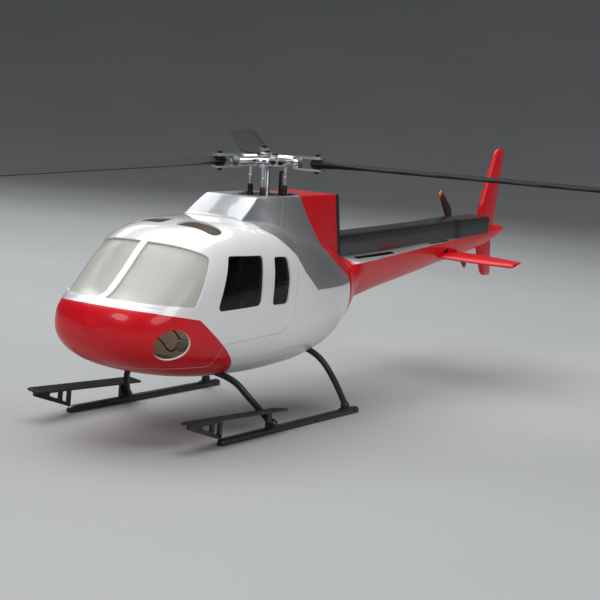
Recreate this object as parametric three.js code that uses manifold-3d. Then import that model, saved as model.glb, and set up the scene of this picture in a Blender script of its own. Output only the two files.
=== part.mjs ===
// Remote control scale helicopter, about 1/11 of full size.
// Millimetres. +X forward, +Y left, +Z up.  Heights in this file are counted from the ground
// under the skids; the finished group is lowered so that the origin is the centre of the
// flat belly hatch, straight below the rotor mast.
import * as THREE from 'three';
import { mergeVertices } from 'three/addons/utils/BufferGeometryUtils.js';
import manifoldModule from 'manifold-3d';

const wasm = await manifoldModule();
wasm.setup();

// ---------------------------------------------------------------- driving dimensions
const GAP = 0.4;                 // space between neighbouring pieces
const HATCH_Z = 53.5;            // underside of the belly hatch above the ground
const WALL = 2.0;                // moulded shell thickness
const GLASS = 0.9;               // glazing thickness
const GLASS_GAP = 0.3;           // between the glazing and the shell that it lies against
const RING_POINTS = 20;          // points round a body section
const TILT = 4.2 * Math.PI / 180;  // forward lean of the mast and of the whole mechanics
const PIVOT_Z = 200;             // height at which the leaning mechanics is hung
// body stations, nose to tail: x, top, bottom, half width, height of the widest point,
// squareness of the upper and of the lower half
const BODY = [
  [306, 121, 107, 9, 114, 2.0, 2.0], [302, 131, 97, 31, 113, 2.4, 2.1],
  [294, 139, 86, 48, 112, 2.7, 2.2], [279, 144, 76, 61, 111, 3.0, 2.3],
  [255, 164, 68, 71, 110, 3.1, 2.4], [222, 196, 61, 77, 110, 3.3, 2.5],
  [195, 210, 57, 80, 111, 3.5, 2.6], [150, 217, 53, 84, 113, 3.7, 2.6],
  [90, 219, 51, 86, 115, 3.7, 2.6], [20, 214, 53, 85, 118, 3.2, 2.5],
  [-40, 202, 60, 80, 124, 2.8, 2.4], [-90, 188, 72, 67, 132, 2.5, 2.3],
  [-130, 174, 88, 52, 138, 2.3, 2.2], [-155, 166, 102, 41, 142, 2.2, 2.2],
];
const NOSE_TIP = 309;
const NOSE_CENTRE_Z = 114;
const NOSE_CAP = 0.35;           // size of the flat nose end against the first section
const BODY_END = -141;           // the body shell stops here and the boom fairing begins
// engine cowl: x and side slope (sideways run per unit of drop)
const COWL_SLOPE = [[130, 0.1], [105, 0.18], [76, 0.41], [55, 0.74], [30, 0.76], [12, 0.7],
  [-23, 0.54], [-47, 0.4], [-100, 0.13], [-130, 0.12]];
const COWL_HALF = 33;            // half width of the flat top
const COWL_FRONT = 72;           // front edge of the flat top
const COWL_REAR = -98;
const COWL_NOSE = [[0, 243], [60, 200]];  // slope of its front face: forward run and height
const COWL_TOP = [242, 246];     // height of the top at its front and rear edge
const COWL_SILL = 190;           // the cowl's foot, buried in the cabin roof
const MAST_TO_BOOM = 152;        // distance of the ring between the body and the boom fairing
const MAST_HOLE = [52, 28.5];    // half length and half width of the oval mast opening
// tail boom fairing: x, half width, deck edge, deck centre, bottom
const BOOM = [
  [-168, 41.5, 163.5, 172.5, 111], [-250, 34.5, 168, 175.5, 123.5],
  [-340, 29, 174, 180.5, 135], [-430, 23.5, 180, 185.5, 147.5], [-500, 19.5, 184.5, 189, 155.5],
  [-560, 16, 188, 191.5, 164], [-582, 14.6, 189.4, 192.4, 167.5], [-590, 14, 190, 197.4, 169],
  [-618, 12.2, 191, 197.6, 174.5], [-640, 10.2, 191.5, 198.6, 180.5],
  [-662, 7, 192.5, 197.6, 187], [-673, 3.2, 193, 195.4, 190.6],
];
const BOOM_TIP = [-676, 193];
const FAIRING_WALL = 1.8;
const COVER_WALL = 1.5;
const COVER_FRONT = -148;        // black cover on the boom deck
const COVER_REAR = -580.5;
const BLADE_AZIMUTH = [-24, 96, -144].map(THREE.MathUtils.degToRad);
const HUB_Z = 81.7;              // rotor plane above the pivot
const BOLT_R = 62;               // blade bolt from the mast
const TIP_R = 490;
const CHORD = 36;
const LEADING = 11;              // leading edge in front of the blade axis
const HANG = [2.1, 0.1, 0.4].map(THREE.MathUtils.degToRad);   // downward lean of each blade at rest
const LINK_ARM = 21.8;           // pitch link from the blade axis
const LINK_U = 6.7;              // pitch link along the blade axis
const SWASH_Z = 29.5;            // mid height of the swashplate's fixed ring
const GEAR_R = 38;
const PINION_R = 5.2;
const GEAR_Z = -62;
const TUBE_Z = -56;              // tail tube axis below the pivot
const TUBE_R = 7;
const TAIL_D = 580.5;            // tail rotor shaft behind the mast
const TAIL_Y = -38;              // tail rotor plane
const TAIL_R = 79.5;
const TAIL_ANGLE = THREE.MathUtils.degToRad(45) + TILT;
const TAIL_ARM = [12.5, 8.6];    // tail pitch ball: along the blade and off its axis
const TAIL_SHAFT_HOLE = 4.6;     // radius of the hole for the tail shaft in the fairing and cover
const HORN = 14;                 // servo horn, axle to ball
const TRACK = 97;                // half distance between the skids

// ---------------------------------------------------------------- colours
const FINISH = {
  white: [0xf2f3f4, 0.25, 0], red: [0xc8121c, 0.25, 0],
  black: [0x101112, 0.4, 0], gloss_black: [0x16181a, 0.2, 0], carbon: [0x1a1c1d, 0.35, 0],
  alloy: [0xc9ccd0, 0.25, 1], steel: [0x8f9296, 0.3, 1], smoke: [0x6d706c, 0.1, 0],
  amber: [0x6b5a50, 0.15, 0], plastic: [0x17181a, 0.5, 0], nylon: [0xe6e4dc, 0.55, 0],
  servo: [0x1f2a44, 0.4, 0], battery: [0x7a1f22, 0.5, 0], lamp: [0x8c9094, 0.3, 0.6],
};
const root = new THREE.Group();
root.name = 'remote_control_helicopter';
root.position.set(0, 0, -HATCH_Z);
const mechanics = new THREE.Group();
mechanics.name = 'mechanics';
mechanics.position.set(0, 0, PIVOT_Z);
mechanics.rotation.y = TILT;
root.add(mechanics);

// ---------------------------------------------------------------- helpers
function add(name, shape, finish, group = root) {
  const geometry = shape.isBufferGeometry ? shape : toGeometry(shape);
  geometry.computeVertexNormals();
  const [color, roughness, metalness] = FINISH[finish];
  const mesh = new THREE.Mesh(geometry, new THREE.MeshStandardMaterial({ color, roughness, metalness }));
  mesh.name = name;
  group.add(mesh);
}
function toSolid(source) {
  let geometry = source.clone();
  geometry.deleteAttribute('normal');
  if (geometry.attributes.uv) geometry.deleteAttribute('uv');
  geometry = mergeVertices(geometry, 1e-3);
  const vertProperties = Float32Array.from(geometry.attributes.position.array);
  const triVerts = Uint32Array.from(geometry.index.array);
  return new wasm.Manifold(new wasm.Mesh({ numProp: 3, vertProperties, triVerts }));
}
function toGeometry(solid) {
  const mesh = solid.getMesh();
  const geometry = new THREE.BufferGeometry();
  const points = Float32Array.from(mesh.vertProperties);
  geometry.setAttribute('position', new THREE.BufferAttribute(points, 3));
  geometry.setIndex(Array.from(mesh.triVerts));
  return geometry;
}
const SIDES = [['left', 1], ['right', -1]];
const largest = (solid) => solid.decompose().sort((p, q) => q.volume() - p.volume())[0];
// outline turned about the origin
function turned(outline, a) {
  return outline.map(([x, y]) => [x * Math.cos(a) - y * Math.sin(a), x * Math.sin(a) + y * Math.cos(a)]);
}
function join(...shapes) {
  return shapes.reduce((sum, shape) => sum.add(shape));
}
function box(x0, x1, y0, y1, z0, z1) {
  const geometry = new THREE.BoxGeometry(x1 - x0, y1 - y0, z1 - z0);
  geometry.translate((x0 + x1) / 2, (y0 + y1) / 2, (z0 + z1) / 2);
  return toSolid(geometry);
}
// cylinder from point a to point b
function rod(a, b, r, sides = 10, r2 = r) {
  const from = new THREE.Vector3(...a);
  const to = new THREE.Vector3(...b);
  const geometry = new THREE.CylinderGeometry(r2, r, from.distanceTo(to), sides);
  const turn = new THREE.Quaternion();
  turn.setFromUnitVectors(new THREE.Vector3(0, 1, 0), to.clone().sub(from).normalize());
  geometry.applyQuaternion(turn);
  geometry.translate((from.x + to.x) / 2, (from.y + to.y) / 2, (from.z + to.z) / 2);
  return toSolid(geometry);
}
function ball(x, y, z, r) {
  return toSolid(new THREE.SphereGeometry(r, 8, 4).rotateX(Math.PI / 2).translate(x, y, z));
}
// flat plate: outline [[x, z], ...] standing in the side view, from y0 to y1
function sidePlate(outline, y0, y1) {
  const shape = new THREE.Shape(outline.map(([x, z]) => new THREE.Vector2(x, z)));
  const geometry = new THREE.ExtrudeGeometry(shape, { depth: y1 - y0, bevelEnabled: false });
  geometry.rotateX(Math.PI / 2);
  geometry.translate(0, y1, 0);
  return toSolid(geometry);
}
// flat plate: outline [[x, y], ...] seen from above, from z0 to z1
function plate(outline, z0, z1) {
  const shape = new THREE.Shape(outline.map(([x, y]) => new THREE.Vector2(x, y)));
  const geometry = new THREE.ExtrudeGeometry(shape, { depth: z1 - z0, bevelEnabled: false });
  geometry.translate(0, 0, z0);
  return toSolid(geometry);
}
// closed skin through rings of equal point count, each end closed with a flat fan
function loft(rings) {
  const n = rings[0].length;
  const points = rings.flat(2);
  const index = [];
  for (let i = 0; i + 1 < rings.length; i += 1) {
    for (let j = 0; j < n; j += 1) {
      const a = i * n + j;
      const b = i * n + (j + 1) % n;
      index.push(a, b, b + n, a, b + n, a + n);
    }
  }
  [[0, 1], [rings.length - 1, -1]].forEach(([row, way]) => {
    const centre = points.length / 3;
    const mean = [0, 1, 2].map((k) => rings[row].reduce((s, p) => s + p[k], 0) / n);
    points.push(...mean);
    for (let j = 0; j < n; j += 1) {
      const a = row * n + j;
      const b = row * n + (j + 1) % n;
      if (way > 0) index.push(centre, b, a);
      else index.push(centre, a, b);
    }
  });
  const geometry = new THREE.BufferGeometry();
  geometry.setAttribute('position', new THREE.BufferAttribute(new Float32Array(points), 3));
  geometry.setIndex(index);
  let solid = toSolid(geometry);
  if (solid.volume() < 0) {
    geometry.setIndex(index.map((_, i) => index[i - (i % 3) + [0, 2, 1][i % 3]]));
    solid = toSolid(geometry);
  }
  return solid;
}
// monotone cubic through table rows sorted by their first value; returns the other columns
function along(table, x) {
  const rows = [...table].sort((p, q) => p[0] - q[0]);
  const last = rows.length - 1;
  const slope = (i, k) => (rows[i + 1][k] - rows[i][k]) / (rows[i + 1][0] - rows[i][0]);
  const tangent = (i, k) => {
    if (i === 0) return slope(0, k);
    if (i === last) return slope(last - 1, k);
    const s0 = slope(i - 1, k);
    const s1 = slope(i, k);
    return s0 * s1 <= 0 ? 0 : 2 * s0 * s1 / (s0 + s1);
  };
  const at = Math.min(Math.max(x, rows[0][0]), rows[last][0]);
  let i = 0;
  while (i < last - 1 && at > rows[i + 1][0]) i += 1;
  const h = rows[i + 1][0] - rows[i][0];
  const t = (at - rows[i][0]) / h;
  return rows[0].slice(1).map((_, k) => {
    const c = k + 1;
    return (2 * t ** 3 - 3 * t ** 2 + 1) * rows[i][c] + (t ** 3 - 2 * t ** 2 + t) * h * tangent(i, c)
      + (3 * t ** 2 - 2 * t ** 3) * rows[i + 1][c] + (t ** 3 - t ** 2) * h * tangent(i + 1, c);
  });
}
const power = (v, e) => Math.sign(v) * Math.abs(v) ** e;
// one body section, drawn in by the given inset
function bodyRing(x, inset) {
  const [top, bottom, half, mid, nTop, nBottom] = along(BODY, x > 60 ? x + inset : x - inset);
  return Array.from({ length: RING_POINTS }, (_, j) => {
    const a = (j + 0.5) / RING_POINTS * 2 * Math.PI;
    const s = Math.sin(a);
    const e = 2 / (s >= 0 ? nTop : nBottom);
    const high = s >= 0 ? top - mid : mid - bottom;
    return [x, (half - inset) * power(Math.cos(a), e), mid + (high - inset) * power(s, e)];
  });
}
function body(inset, xEnd) {
  const stations = [NOSE_TIP - 0.6, 306, 302, 292, 272, 240, 205, 160, 90, 20, -40, -95, xEnd];
  const rings = stations.map((x, i) => {
    const ring = bodyRing(i ? x - inset : 306 - inset, inset);
    if (i) return ring;
    return ring.map(([, y, z]) => [x - inset, y * NOSE_CAP, NOSE_CENTRE_Z + (z - NOSE_CENTRE_Z) * NOSE_CAP]);
  });
  return loft(rings);
}
// engine cowl standing on the cabin roof
function cowl(inset, xRear) {
  const stations = [125, 105, 76, 55, 15, -30, xRear];
  const rise = (COWL_TOP[1] - COWL_TOP[0]) / (COWL_FRONT - COWL_REAR);
  const rings = stations.map((x) => {
    const top = COWL_TOP[0] + (COWL_FRONT - x) * rise - inset;
    const [slope] = along(COWL_SLOPE, x);
    const side = COWL_HALF - inset * 1.1;
    const low = COWL_SILL + Math.min(0, x + 30) * 0.27;    // it follows the roof down behind x = -30
    const foot = side + slope * (top - low);
    return [[x, side, top], [x, -side, top], [x, -foot, low], [x, foot, low]];
  });
  const front = COWL_FRONT - inset * 1.2;
  const slope = COWL_NOSE.map(([run, z], i) => [front + run, i ? z : z - inset * 0.3]);
  const wedge = sidePlate([[front, 270], ...slope, [front + COWL_NOSE[1][0], 150], [-200, 150], [-200, 270]],
    -120, 120);
  return loft(rings).intersect(wedge);
}
function shellSolid(inset, xEnd, xCowlRear) {
  return body(inset, xEnd).add(cowl(inset, xCowlRear));
}
// tail boom section: flat crowned deck above, rounded belly below
function boomRing(x, inset) {
  const [w, edge, centre, bottom] = along(BOOM, x);
  const half = w - inset;
  return Array.from({ length: RING_POINTS }, (_, j) => {
    const a = (j + 0.5) / RING_POINTS * 2 * Math.PI;
    const s = Math.sin(a);
    if (s >= 0) {
      const y = half * power(Math.cos(a), 0.8);
      return [x, y, edge - inset * 0.6 + (centre - inset * 0.4 - edge) * (1 - Math.abs(y) / half) ** 0.9];
    }
    return [x, half * power(Math.cos(a), 0.8), edge - inset * 0.6 + (edge - bottom - inset) * power(s, 0.85)];
  });
}
function boom(inset, open) {
  const stations = [-168, -250, -340, -430, -560, -582, -590, -640, -662, -673];
  const rings = stations.slice(0, inset > 0 ? -2 : undefined).map((x) => boomRing(x, inset));
  const start = open ? BODY_END + 4 : BODY_END - GAP;
  rings.unshift(bodyRing(start, inset));
  rings.splice(1, 0, rings[1].map((p, j) => p.map((v, k) => (k ? (v + rings[0][j][k]) / 2 : -MAST_TO_BOOM))));
  if (inset <= 0) {
    const [tipX, tipZ] = BOOM_TIP;
    rings.push(rings[rings.length - 1].map(([, y, z]) => [tipX, y * 0.4, tipZ + (z - tipZ) * 0.4]));
  }
  return loft(rings);
}

// ---------------------------------------------------------------- body shell and windows
// the canopy lifts off in front of this line, which steps down round the engine cowl's foot
const SEAM = [[18, 275], [19.5, 241.5], [56, 212], [47, 199], [52, 185], [60, 150], [61, 117],
  [84, 104], [186, 98], [192, 75], [340, 75], [340, 275]];
const WINDSHIELD = [[234, 138], [300, 142.5], [312, 150], [312, 215], [262, 215], [214, 192],
  [205, 186.5], [204, 181], [229, 140.5]];
const PILLAR = 3.9;              // half width of the post in the middle of the windshield
const DOOR_WINDOW = [[175, 187], [127, 186.5], [123, 182], [127, 138], [132, 134.5], [196, 132],
  [199, 136], [180, 184]];
const REAR_WINDOW = [[100, 184.5], [80, 184], [75.5, 178], [72.5, 160], [76, 138], [81, 134],
  [104, 134], [107, 138], [103, 181]];
const ROOF_WINDOW = [[183, 8], [186, 14], [184, 50], [179, 56], [169, 56], [163, 50], [157.5, 15],
  [160, 9]];
const LIGHT_HOLE = { x: 257, z: 101.5, high: 15.6, stretch: 1.4, turn: Math.atan2(0.29, 0.95) };
const SIDE_REACH = [45, 110];    // the side windows are cut between these distances from the middle
const HATCH = [-12, 42, -24, 24];
// cross tubes from the centre line to the left foot
const FRONT_LEG = [[152, 0, 63], [151, 34, 62.5], [146, 52, 60], [138, 68, 52], [128, 81, 36],
  [108, 94, 13], [103, TRACK, 8.4]];
const REAR_LEG = [[-12, 0, 75], [-13, 44, 75], [-16, 62, 73], [-23, 77, 62], [-33, 88, 42],
  [-48, 96, 15], [-51, TRACK, 8.4]];
const LEG_R = 3.5;

function grow(outline, by) {
  const cx = outline.reduce((s, p) => s + p[0], 0) / outline.length;
  const cy = outline.reduce((s, p) => s + p[1], 0) / outline.length;
  return outline.map(([x, y]) => {
    const d = Math.hypot(x - cx, y - cy);
    return [x + (x - cx) / d * by, y + (y - cy) / d * by];
  });
}
const flip = (outline) => outline.map(([x, y]) => [x, -y]).reverse();
function onSide(outline, way) {
  const [near, far] = SIDE_REACH;
  return sidePlate(outline, way > 0 ? near : -far, way > 0 ? far : -near);
}
function lightHole(way) {
  const { x, z, high, stretch, turn } = LIGHT_HOLE;
  const geometry = new THREE.CylinderGeometry(high, high, 60, 18);
  geometry.scale(stretch, 1, 1);
  geometry.rotateZ(-way * turn);
  geometry.translate(x, way * 70, z);
  return toSolid(geometry);
}
function mastOpening() {
  const geometry = new THREE.CylinderGeometry(1, 1, 40, 24);
  geometry.rotateX(Math.PI / 2);
  geometry.scale(MAST_HOLE[0], MAST_HOLE[1], 1);
  geometry.translate(0, 0, 250);
  return toSolid(geometry);
}
function legTube(leg, r) {
  const points = [...leg.slice(1).reverse().map(([x, y, z]) => [x, -y, z]), ...leg];
  const curve = new THREE.CatmullRomCurve3(points.map((p) => new THREE.Vector3(...p)));
  const ring = new THREE.Shape();
  ring.absarc(0, 0, r, 0, Math.PI * 2);
  return toSolid(new THREE.ExtrudeGeometry(ring, {
    extrudePath: curve, steps: 14, curveSegments: 4, bevelEnabled: false,
  }));
}
function buildShell() {
  const [x0, x1, y0, y1] = HATCH;
  let skin = shellSolid(0, BODY_END, COWL_REAR)
    .subtract(shellSolid(WALL, -160, COWL_REAR - 0.6))
    .subtract(sidePlate(WINDSHIELD, -110, 110).subtract(box(190, 330, -PILLAR, PILLAR, 120, 230)))
    .subtract(plate(ROOF_WINDOW, 190, 230))
    .subtract(plate(flip(ROOF_WINDOW), 190, 230))
    .subtract(mastOpening())
    .subtract(box(x0 - GAP, x1 + GAP, y0 - GAP, y1 + GAP, 40, 75));
  SIDES.forEach(([, way]) => {
    skin = skin.subtract(onSide(DOOR_WINDOW, way))
      .subtract(onSide(REAR_WINDOW, way))
      .subtract(lightHole(way));
  });
  const seamWithGap = SEAM.map(([x, z]) => [x - (x < 300 ? GAP : 0), z - (z < 110 ? GAP : 0)]);
  const rear = skin.subtract(sidePlate(seamWithGap, -130, 130))
    .subtract(legTube(FRONT_LEG, LEG_R + 0.9))
    .subtract(legTube(REAR_LEG, LEG_R + 0.9));
  add('canopy_shell', largest(skin.intersect(sidePlate(SEAM, -130, 130))), 'white');
  add('fuselage_shell', largest(rear), 'white');
  add('belly_hatch', box(...HATCH, HATCH_Z, HATCH_Z + 3), 'white');
}
buildShell();

// ---------------------------------------------------------------- glazing, inside the shell
function buildGlazing() {
  const inside = WALL + GLASS_GAP;
  const sheet = body(inside, -80).subtract(body(inside + GLASS, -90));
  const front = sidePlate(grow(WINDSHIELD, 3), -110, 110);
  const frontWithGap = sidePlate(grow(WINDSHIELD, 3.6), -110, 110);
  add('windshield', largest(sheet.intersect(front)), 'smoke');
  const band = [[202, 128], [180, 191], [73, 188], [67, 160], [72, 129.5]];
  SIDES.forEach(([side, way]) => {
    add(`side_glazing_${side}`, largest(sheet.intersect(onSide(band, way)).subtract(frontWithGap)), 'smoke');
  });
  const roof = plate([[190, -60], [190, 60], [154, 60], [154, -60]], 192, 230);
  add('roof_glazing', largest(sheet.intersect(roof).subtract(frontWithGap)), 'amber');
}
buildGlazing();

// ---------------------------------------------------------------- landing lights
const LAMP = { back: [219, 49.5, 98.5], rim: [229, 55.5, 97.5], face: [231.6, 57.1, 97.3], r: [4.4, 6.4] };
SIDES.forEach(([side, way]) => {
  const [back, rim, face] = [LAMP.back, LAMP.rim, LAMP.face].map(([x, y, z]) => [x, way * y, z]);
  const lamp = join(rod(back, rim, LAMP.r[0], 12, LAMP.r[1]), rod(rim, face, LAMP.r[1], 12),
    box(217, 222, back[1] - 4, back[1] + 4, back[2] - 3, back[2] + 3));
  add(`landing_light_${side}`, lamp, 'lamp');
});

// ---------------------------------------------------------------- tail boom fairing and its cover
const COVER_HALF = [[-600, 19.5], [-484, 19.5], [-470, 17], [-140, 17]];   // x, half width
const COVER_TOP = [[-600, 213.6], [-576, 213], [-476, 210], [-390, 204.8], [-140, 194.2]];
// slots in the deck: x from, to, then y from, to
const DECK_SLOTS = [[-272, -172, 22.5, 29.5], [-440, -392, 20.2, 22.4]];
const TAIL_X = -TAIL_D * Math.cos(TILT) + TUBE_Z * Math.sin(TILT);
const TAIL_Z = PIVOT_Z + TAIL_D * Math.sin(TILT) + TUBE_Z * Math.cos(TILT);
const shaftHole = rod([TAIL_X, -60, TAIL_Z], [TAIL_X, 0, TAIL_Z], TAIL_SHAFT_HOLE, 16);
const deckRaised = boom(-GAP, false);

function coverRing(x, inset) {
  const [half] = along(COVER_HALF, x);
  const [top] = along(COVER_TOP, x);
  const [w, edge, centre] = along(BOOM, x);
  const low = edge + (centre - edge) * Math.max(0, 1 - half / w) + 0.9 - inset * 6;
  const h = half - inset;
  const t = top - inset;
  return [[x, h, low], [x, h, t - 3.5], [x, h - 1.2, t - 1.2], [x, h - 4, t], [x, 4 - h, t],
    [x, 1.2 - h, t - 1.2], [x, -h, t - 3.5], [x, -h, low]];
}
function coverSolid(inset, front, rear) {
  return loft([front, -250, -390, -468, -484, rear].map((x) => coverRing(x, inset)));
}
function slot([x0, x1, y0, y1], way) {
  const r = (y1 - y0) / 2;
  const y = way * (y0 + y1) / 2;
  return join(box(x0 + r, x1 - r, y - r, y + r, 150, 205),
    rod([x0 + r, y, 150], [x0 + r, y, 205], r), rod([x1 - r, y, 150], [x1 - r, y, 205], r));
}
// symmetric wing section as a ring; place sets each (chord position, height) in space
function foil(front, rear, thick, place) {
  const profile = [[0, 0], [0.05, 0.65], [0.25, 1], [0.65, 0.7], [1, 0.08]];
  const upper = profile.map(([c, t]) => [front + (rear - front) * c, t * thick / 2]);
  const lower = profile.slice(1).reverse().map(([c, t]) => [front + (rear - front) * c, -t * thick / 2]);
  return [...upper, ...lower].map(([c, t]) => place(c, t));
}
function stabiliser(extra) {
  return loft([-120, -117, 0, 117, 120].map((y) => {
    const k = Math.abs(y) / 118;
    const blunt = Math.abs(y) > 118 ? 0.5 : 1;
    const [front, rear, z] = [-407 - 36.5 * k, -493 + 20 * k, 162.6 - 3.8 * k];
    const middle = (front + rear) / 2;
    const pitch = 0.03 + 0.15 * k;   // the tips lean forward more than the root
    return foil(front + extra, rear - extra, (7.4 - 1.6 * k) * blunt + extra * 2,
      (c, t) => [c, y, z + t - pitch * (c - middle)]);
  }));
}
function buildBoom() {
  let fairing = boom(0, false)
    .subtract(boom(FAIRING_WALL, true))
    .subtract(stabiliser(GAP))
    .subtract(box(-588.4, -440, -9.8, 9.8, 178, 205))
    .subtract(shaftHole);
  SIDES.forEach(([, way]) => DECK_SLOTS.forEach((sizes) => {
    fairing = fairing.subtract(slot(sizes, way));
  }));
  add('tail_boom_fairing', largest(fairing), 'red');
  const hollow = coverSolid(COVER_WALL, COVER_FRONT + 5, COVER_REAR + COVER_WALL);
  const cover = coverSolid(0, COVER_FRONT, COVER_REAR).subtract(hollow)
    .subtract(deckRaised)
    .subtract(shaftHole);
  add('boom_top_cover', largest(cover), 'gloss_black');
}
buildBoom();

// ---------------------------------------------------------------- fins and stabiliser
// fin sections from the bottom up: height, leading edge, trailing edge, thickness
const UPPER_FIN = [[190, -583, -635, 11], [214.2, -583, -639, 11], [216, -580, -639.5, 11],
  [262, -600, -647, 10], [303, -619.5, -654, 8.6], [309.5, -625, -655, 7], [312, -632, -654, 3.5]];
const LOWER_FIN = [[186, -584, -634, 9.5], [163.6, -588, -636.5, 9.5], [128, -610, -643, 8],
  [124, -614, -643, 6.4], [122.8, -620, -640, 3]];
function fin(rows) {
  return loft(rows.map(([z, front, rear, thick]) => foil(front, rear, thick, (c, t) => [c, t, z])))
    .subtract(deckRaised);
}
const coverEnd = box(COVER_REAR - 1.9, -560, -30, 30, 180, 214);
add('upper_fin', largest(fin(UPPER_FIN).subtract(coverEnd)), 'red');
add('lower_fin', largest(fin(LOWER_FIN)), 'red');
add('horizontal_stabilizer', stabiliser(0), 'red');

// ---------------------------------------------------------------- landing gear
// skid rail section: flat wear face below, narrower crown above
const RAIL = [[4.2, 0.9], [3.2, 0], [-3.2, 0], [-4.2, 0.9], [-4.2, 5], [-3, 6.9], [3, 6.9], [4.2, 5]];
const RAIL_STATIONS = [[-78, 0.75], [-74, 1], [196, 1], [204, 0.8]];   // x, size of the section
const STEP_BAR = [[264, 31.5], [90, 25.2]];    // top of the bar at its front and rear end
const STEP = { half: 9, lean: 0.12, thick: 2.6 };
const STEP_WEB = [[264, 30], [262, 24], [206, 7.4], [203, 7.4], [203, 27.6]];
const STEP_WEB_HOLES = [[[247, 25], [222, 24.4], [222, 16.6]],
  [[217, 24.6], [208, 24.4], [208, 12], [217, 14.6]]];
const STEP_POST = [[118, 25.6], [110, 25.4], [110, 7.4], [118, 7.4]];

function skid(y0) {
  const rings = RAIL_STATIONS.map(([x, k]) => RAIL.map(([y, z]) => [x, y0 + y * k, z * k]));
  return loft(rings)
    .subtract(rod([FRONT_LEG.at(-1)[0], y0, 6], [FRONT_LEG.at(-1)[0], y0, 20], LEG_R + 0.9, 16))
    .subtract(legTube(FRONT_LEG, LEG_R + GAP))
    .subtract(legTube(REAR_LEG, LEG_R + GAP));
}
// boarding step: flat bar leaning outwards, pierced web under its tip and a post at the rear
function step(y0) {
  const { half, lean, thick } = STEP;
  const bar = STEP_BAR.map(([x, z]) => [[x, y0 - half, z - half * lean], [x, y0 + half, z + half * lean],
    [x, y0 + half, z + half * lean - thick], [x, y0 - half, z - half * lean - thick]]);
  let web = sidePlate(STEP_WEB, y0 - 1.5, y0 + 1.5);
  STEP_WEB_HOLES.forEach((hole) => {
    web = web.subtract(sidePlate(hole, y0 - 5, y0 + 5));
  });
  return join(loft(bar), web, sidePlate(STEP_POST, y0 - 1.5, y0 + 1.5))
    .subtract(legTube(FRONT_LEG, LEG_R + 0.6));
}
add('front_cross_tube', legTube(FRONT_LEG, LEG_R), 'black');
add('rear_cross_tube', legTube(REAR_LEG, LEG_R), 'black');
SIDES.forEach(([side, way]) => {
  add(`skid_${side}`, largest(skid(way * TRACK)), 'black');
  add(`step_${side}`, largest(step(way * TRACK)), 'black');
});

// ---------------------------------------------------------------- frame, motor, gears, battery
const FRAME = [[-64, -20], [-64, -84], [-46, -106], [60, -112], [176, -112], [176, -92], [72, -88],
  [62, -20]];
const FRAME_FACES = [22.4, 24];      // inner and outer face from the middle
// windows in the frame plates: x from, to, then z from, to; the first lets the gear through
const FRAME_WINDOWS = [[6 - GEAR_R, GEAR_R - 5, GEAR_Z - 7, GEAR_Z + 7], [-36, -12, -48, -36],
  [-40, 46, -98, -80], [90, 120, -107, -98], [132, 162, -107, -98]];
const BLOCK = [-46, 22, -22, 22, -32, -18];
const BATTERY_CELLS = [[74, 182, -22, 22, -91.4, -62], [80, 176, -22, 22, -108, -91]];
const SHAFT_R = 4;
const BORE_R = 4.4;                  // hole round the main shaft
const MOTOR_X = GEAR_R + PINION_R + 0.3;

SIDES.forEach(([side, way]) => {
  const [near, far] = FRAME_FACES;
  let frame = sidePlate(FRAME, way > 0 ? near : -far, way > 0 ? far : -near);
  FRAME_WINDOWS.forEach(([x0, x1, z0, z1]) => {
    frame = frame.subtract(box(x0, x1, -30, 30, z0, z1));
  });
  add(`frame_${side}`, frame, 'carbon', mechanics);
});
const block = box(...BLOCK)
  .subtract(rod([0, 0, -40], [0, 0, 0], BORE_R, 20))
  .subtract(box(-30, -10, -14, 14, -40, -22));
add('bearing_block', block, 'alloy', mechanics);
const motor = join(rod([MOTOR_X, 0, -52], [MOTOR_X, 0, -16], 15.5, 24),
  rod([MOTOR_X, 0, -16], [MOTOR_X, 0, -13], 6, 16))
  .subtract(rod([MOTOR_X, 0, -54], [MOTOR_X, 0, -46], 2.4, 12));
add('motor', motor, 'steel', mechanics);
const pinion = join(rod([MOTOR_X, 0, -68], [MOTOR_X, 0, -56], PINION_R, 18),
  rod([MOTOR_X, 0, -57], [MOTOR_X, 0, -47], 1.6, 12));
add('motor_pinion', pinion, 'steel', mechanics);
function mainGear() {
  let gear = join(rod([0, 0, GEAR_Z - 3], [0, 0, GEAR_Z + 3], GEAR_R, 28),
    rod([0, 0, GEAR_Z - 5], [0, 0, GEAR_Z + 5], 10, 12))
    .subtract(rod([0, 0, -80], [0, 0, -40], BORE_R, 12));
  for (let i = 0; i < 6; i += 1) {
    const [[x, y]] = turned([[22, 0]], i * Math.PI / 3);
    gear = gear.subtract(rod([x, y, -80], [x, y, -40], 7.5, 6));
  }
  return gear;
}
add('main_gear', mainGear(), 'nylon', mechanics);
add('main_shaft', rod([0, 0, -78], [0, 0, HUB_Z + 6], SHAFT_R, 14), 'steel', mechanics);
add('battery', join(...BATTERY_CELLS.map((sizes) => box(...sizes))), 'battery', mechanics);

// ---------------------------------------------------------------- rotor head
const SPINDLE_R = 3.6;
const GRIP_R = 6.9;
const JAW = [[36, -6.6], [62, -7.4], [67, -5.6], [69.4, 0], [67, 5.6], [62, 7.4], [36, 6.6]];
const PITCH_ARM = [[17.5, -4], [17.5, -LINK_ARM - 3], [20.5, -LINK_ARM - 3], [35, -11], [35, -4]];
const PIN_R = 1.2;                   // pin that carries the pitch link
// blade sections: distance from the mast, leading edge, trailing edge, thickness
const BLADE = [[55.6, 5, 5, 8], [58, 7.2, 7.2, 9], [66, 7.6, 8, 9], [80, 8.2, 12, 8], [100, 10.4, 22, 6],
  [122, LEADING, CHORD - LEADING, 5], [TIP_R - 14, LEADING, CHORD - LEADING, 4.6],
  [TIP_R - 3, LEADING - 5, CHORD - LEADING, 3.6], [TIP_R, LEADING - 12, CHORD - LEADING, 2]];

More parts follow.
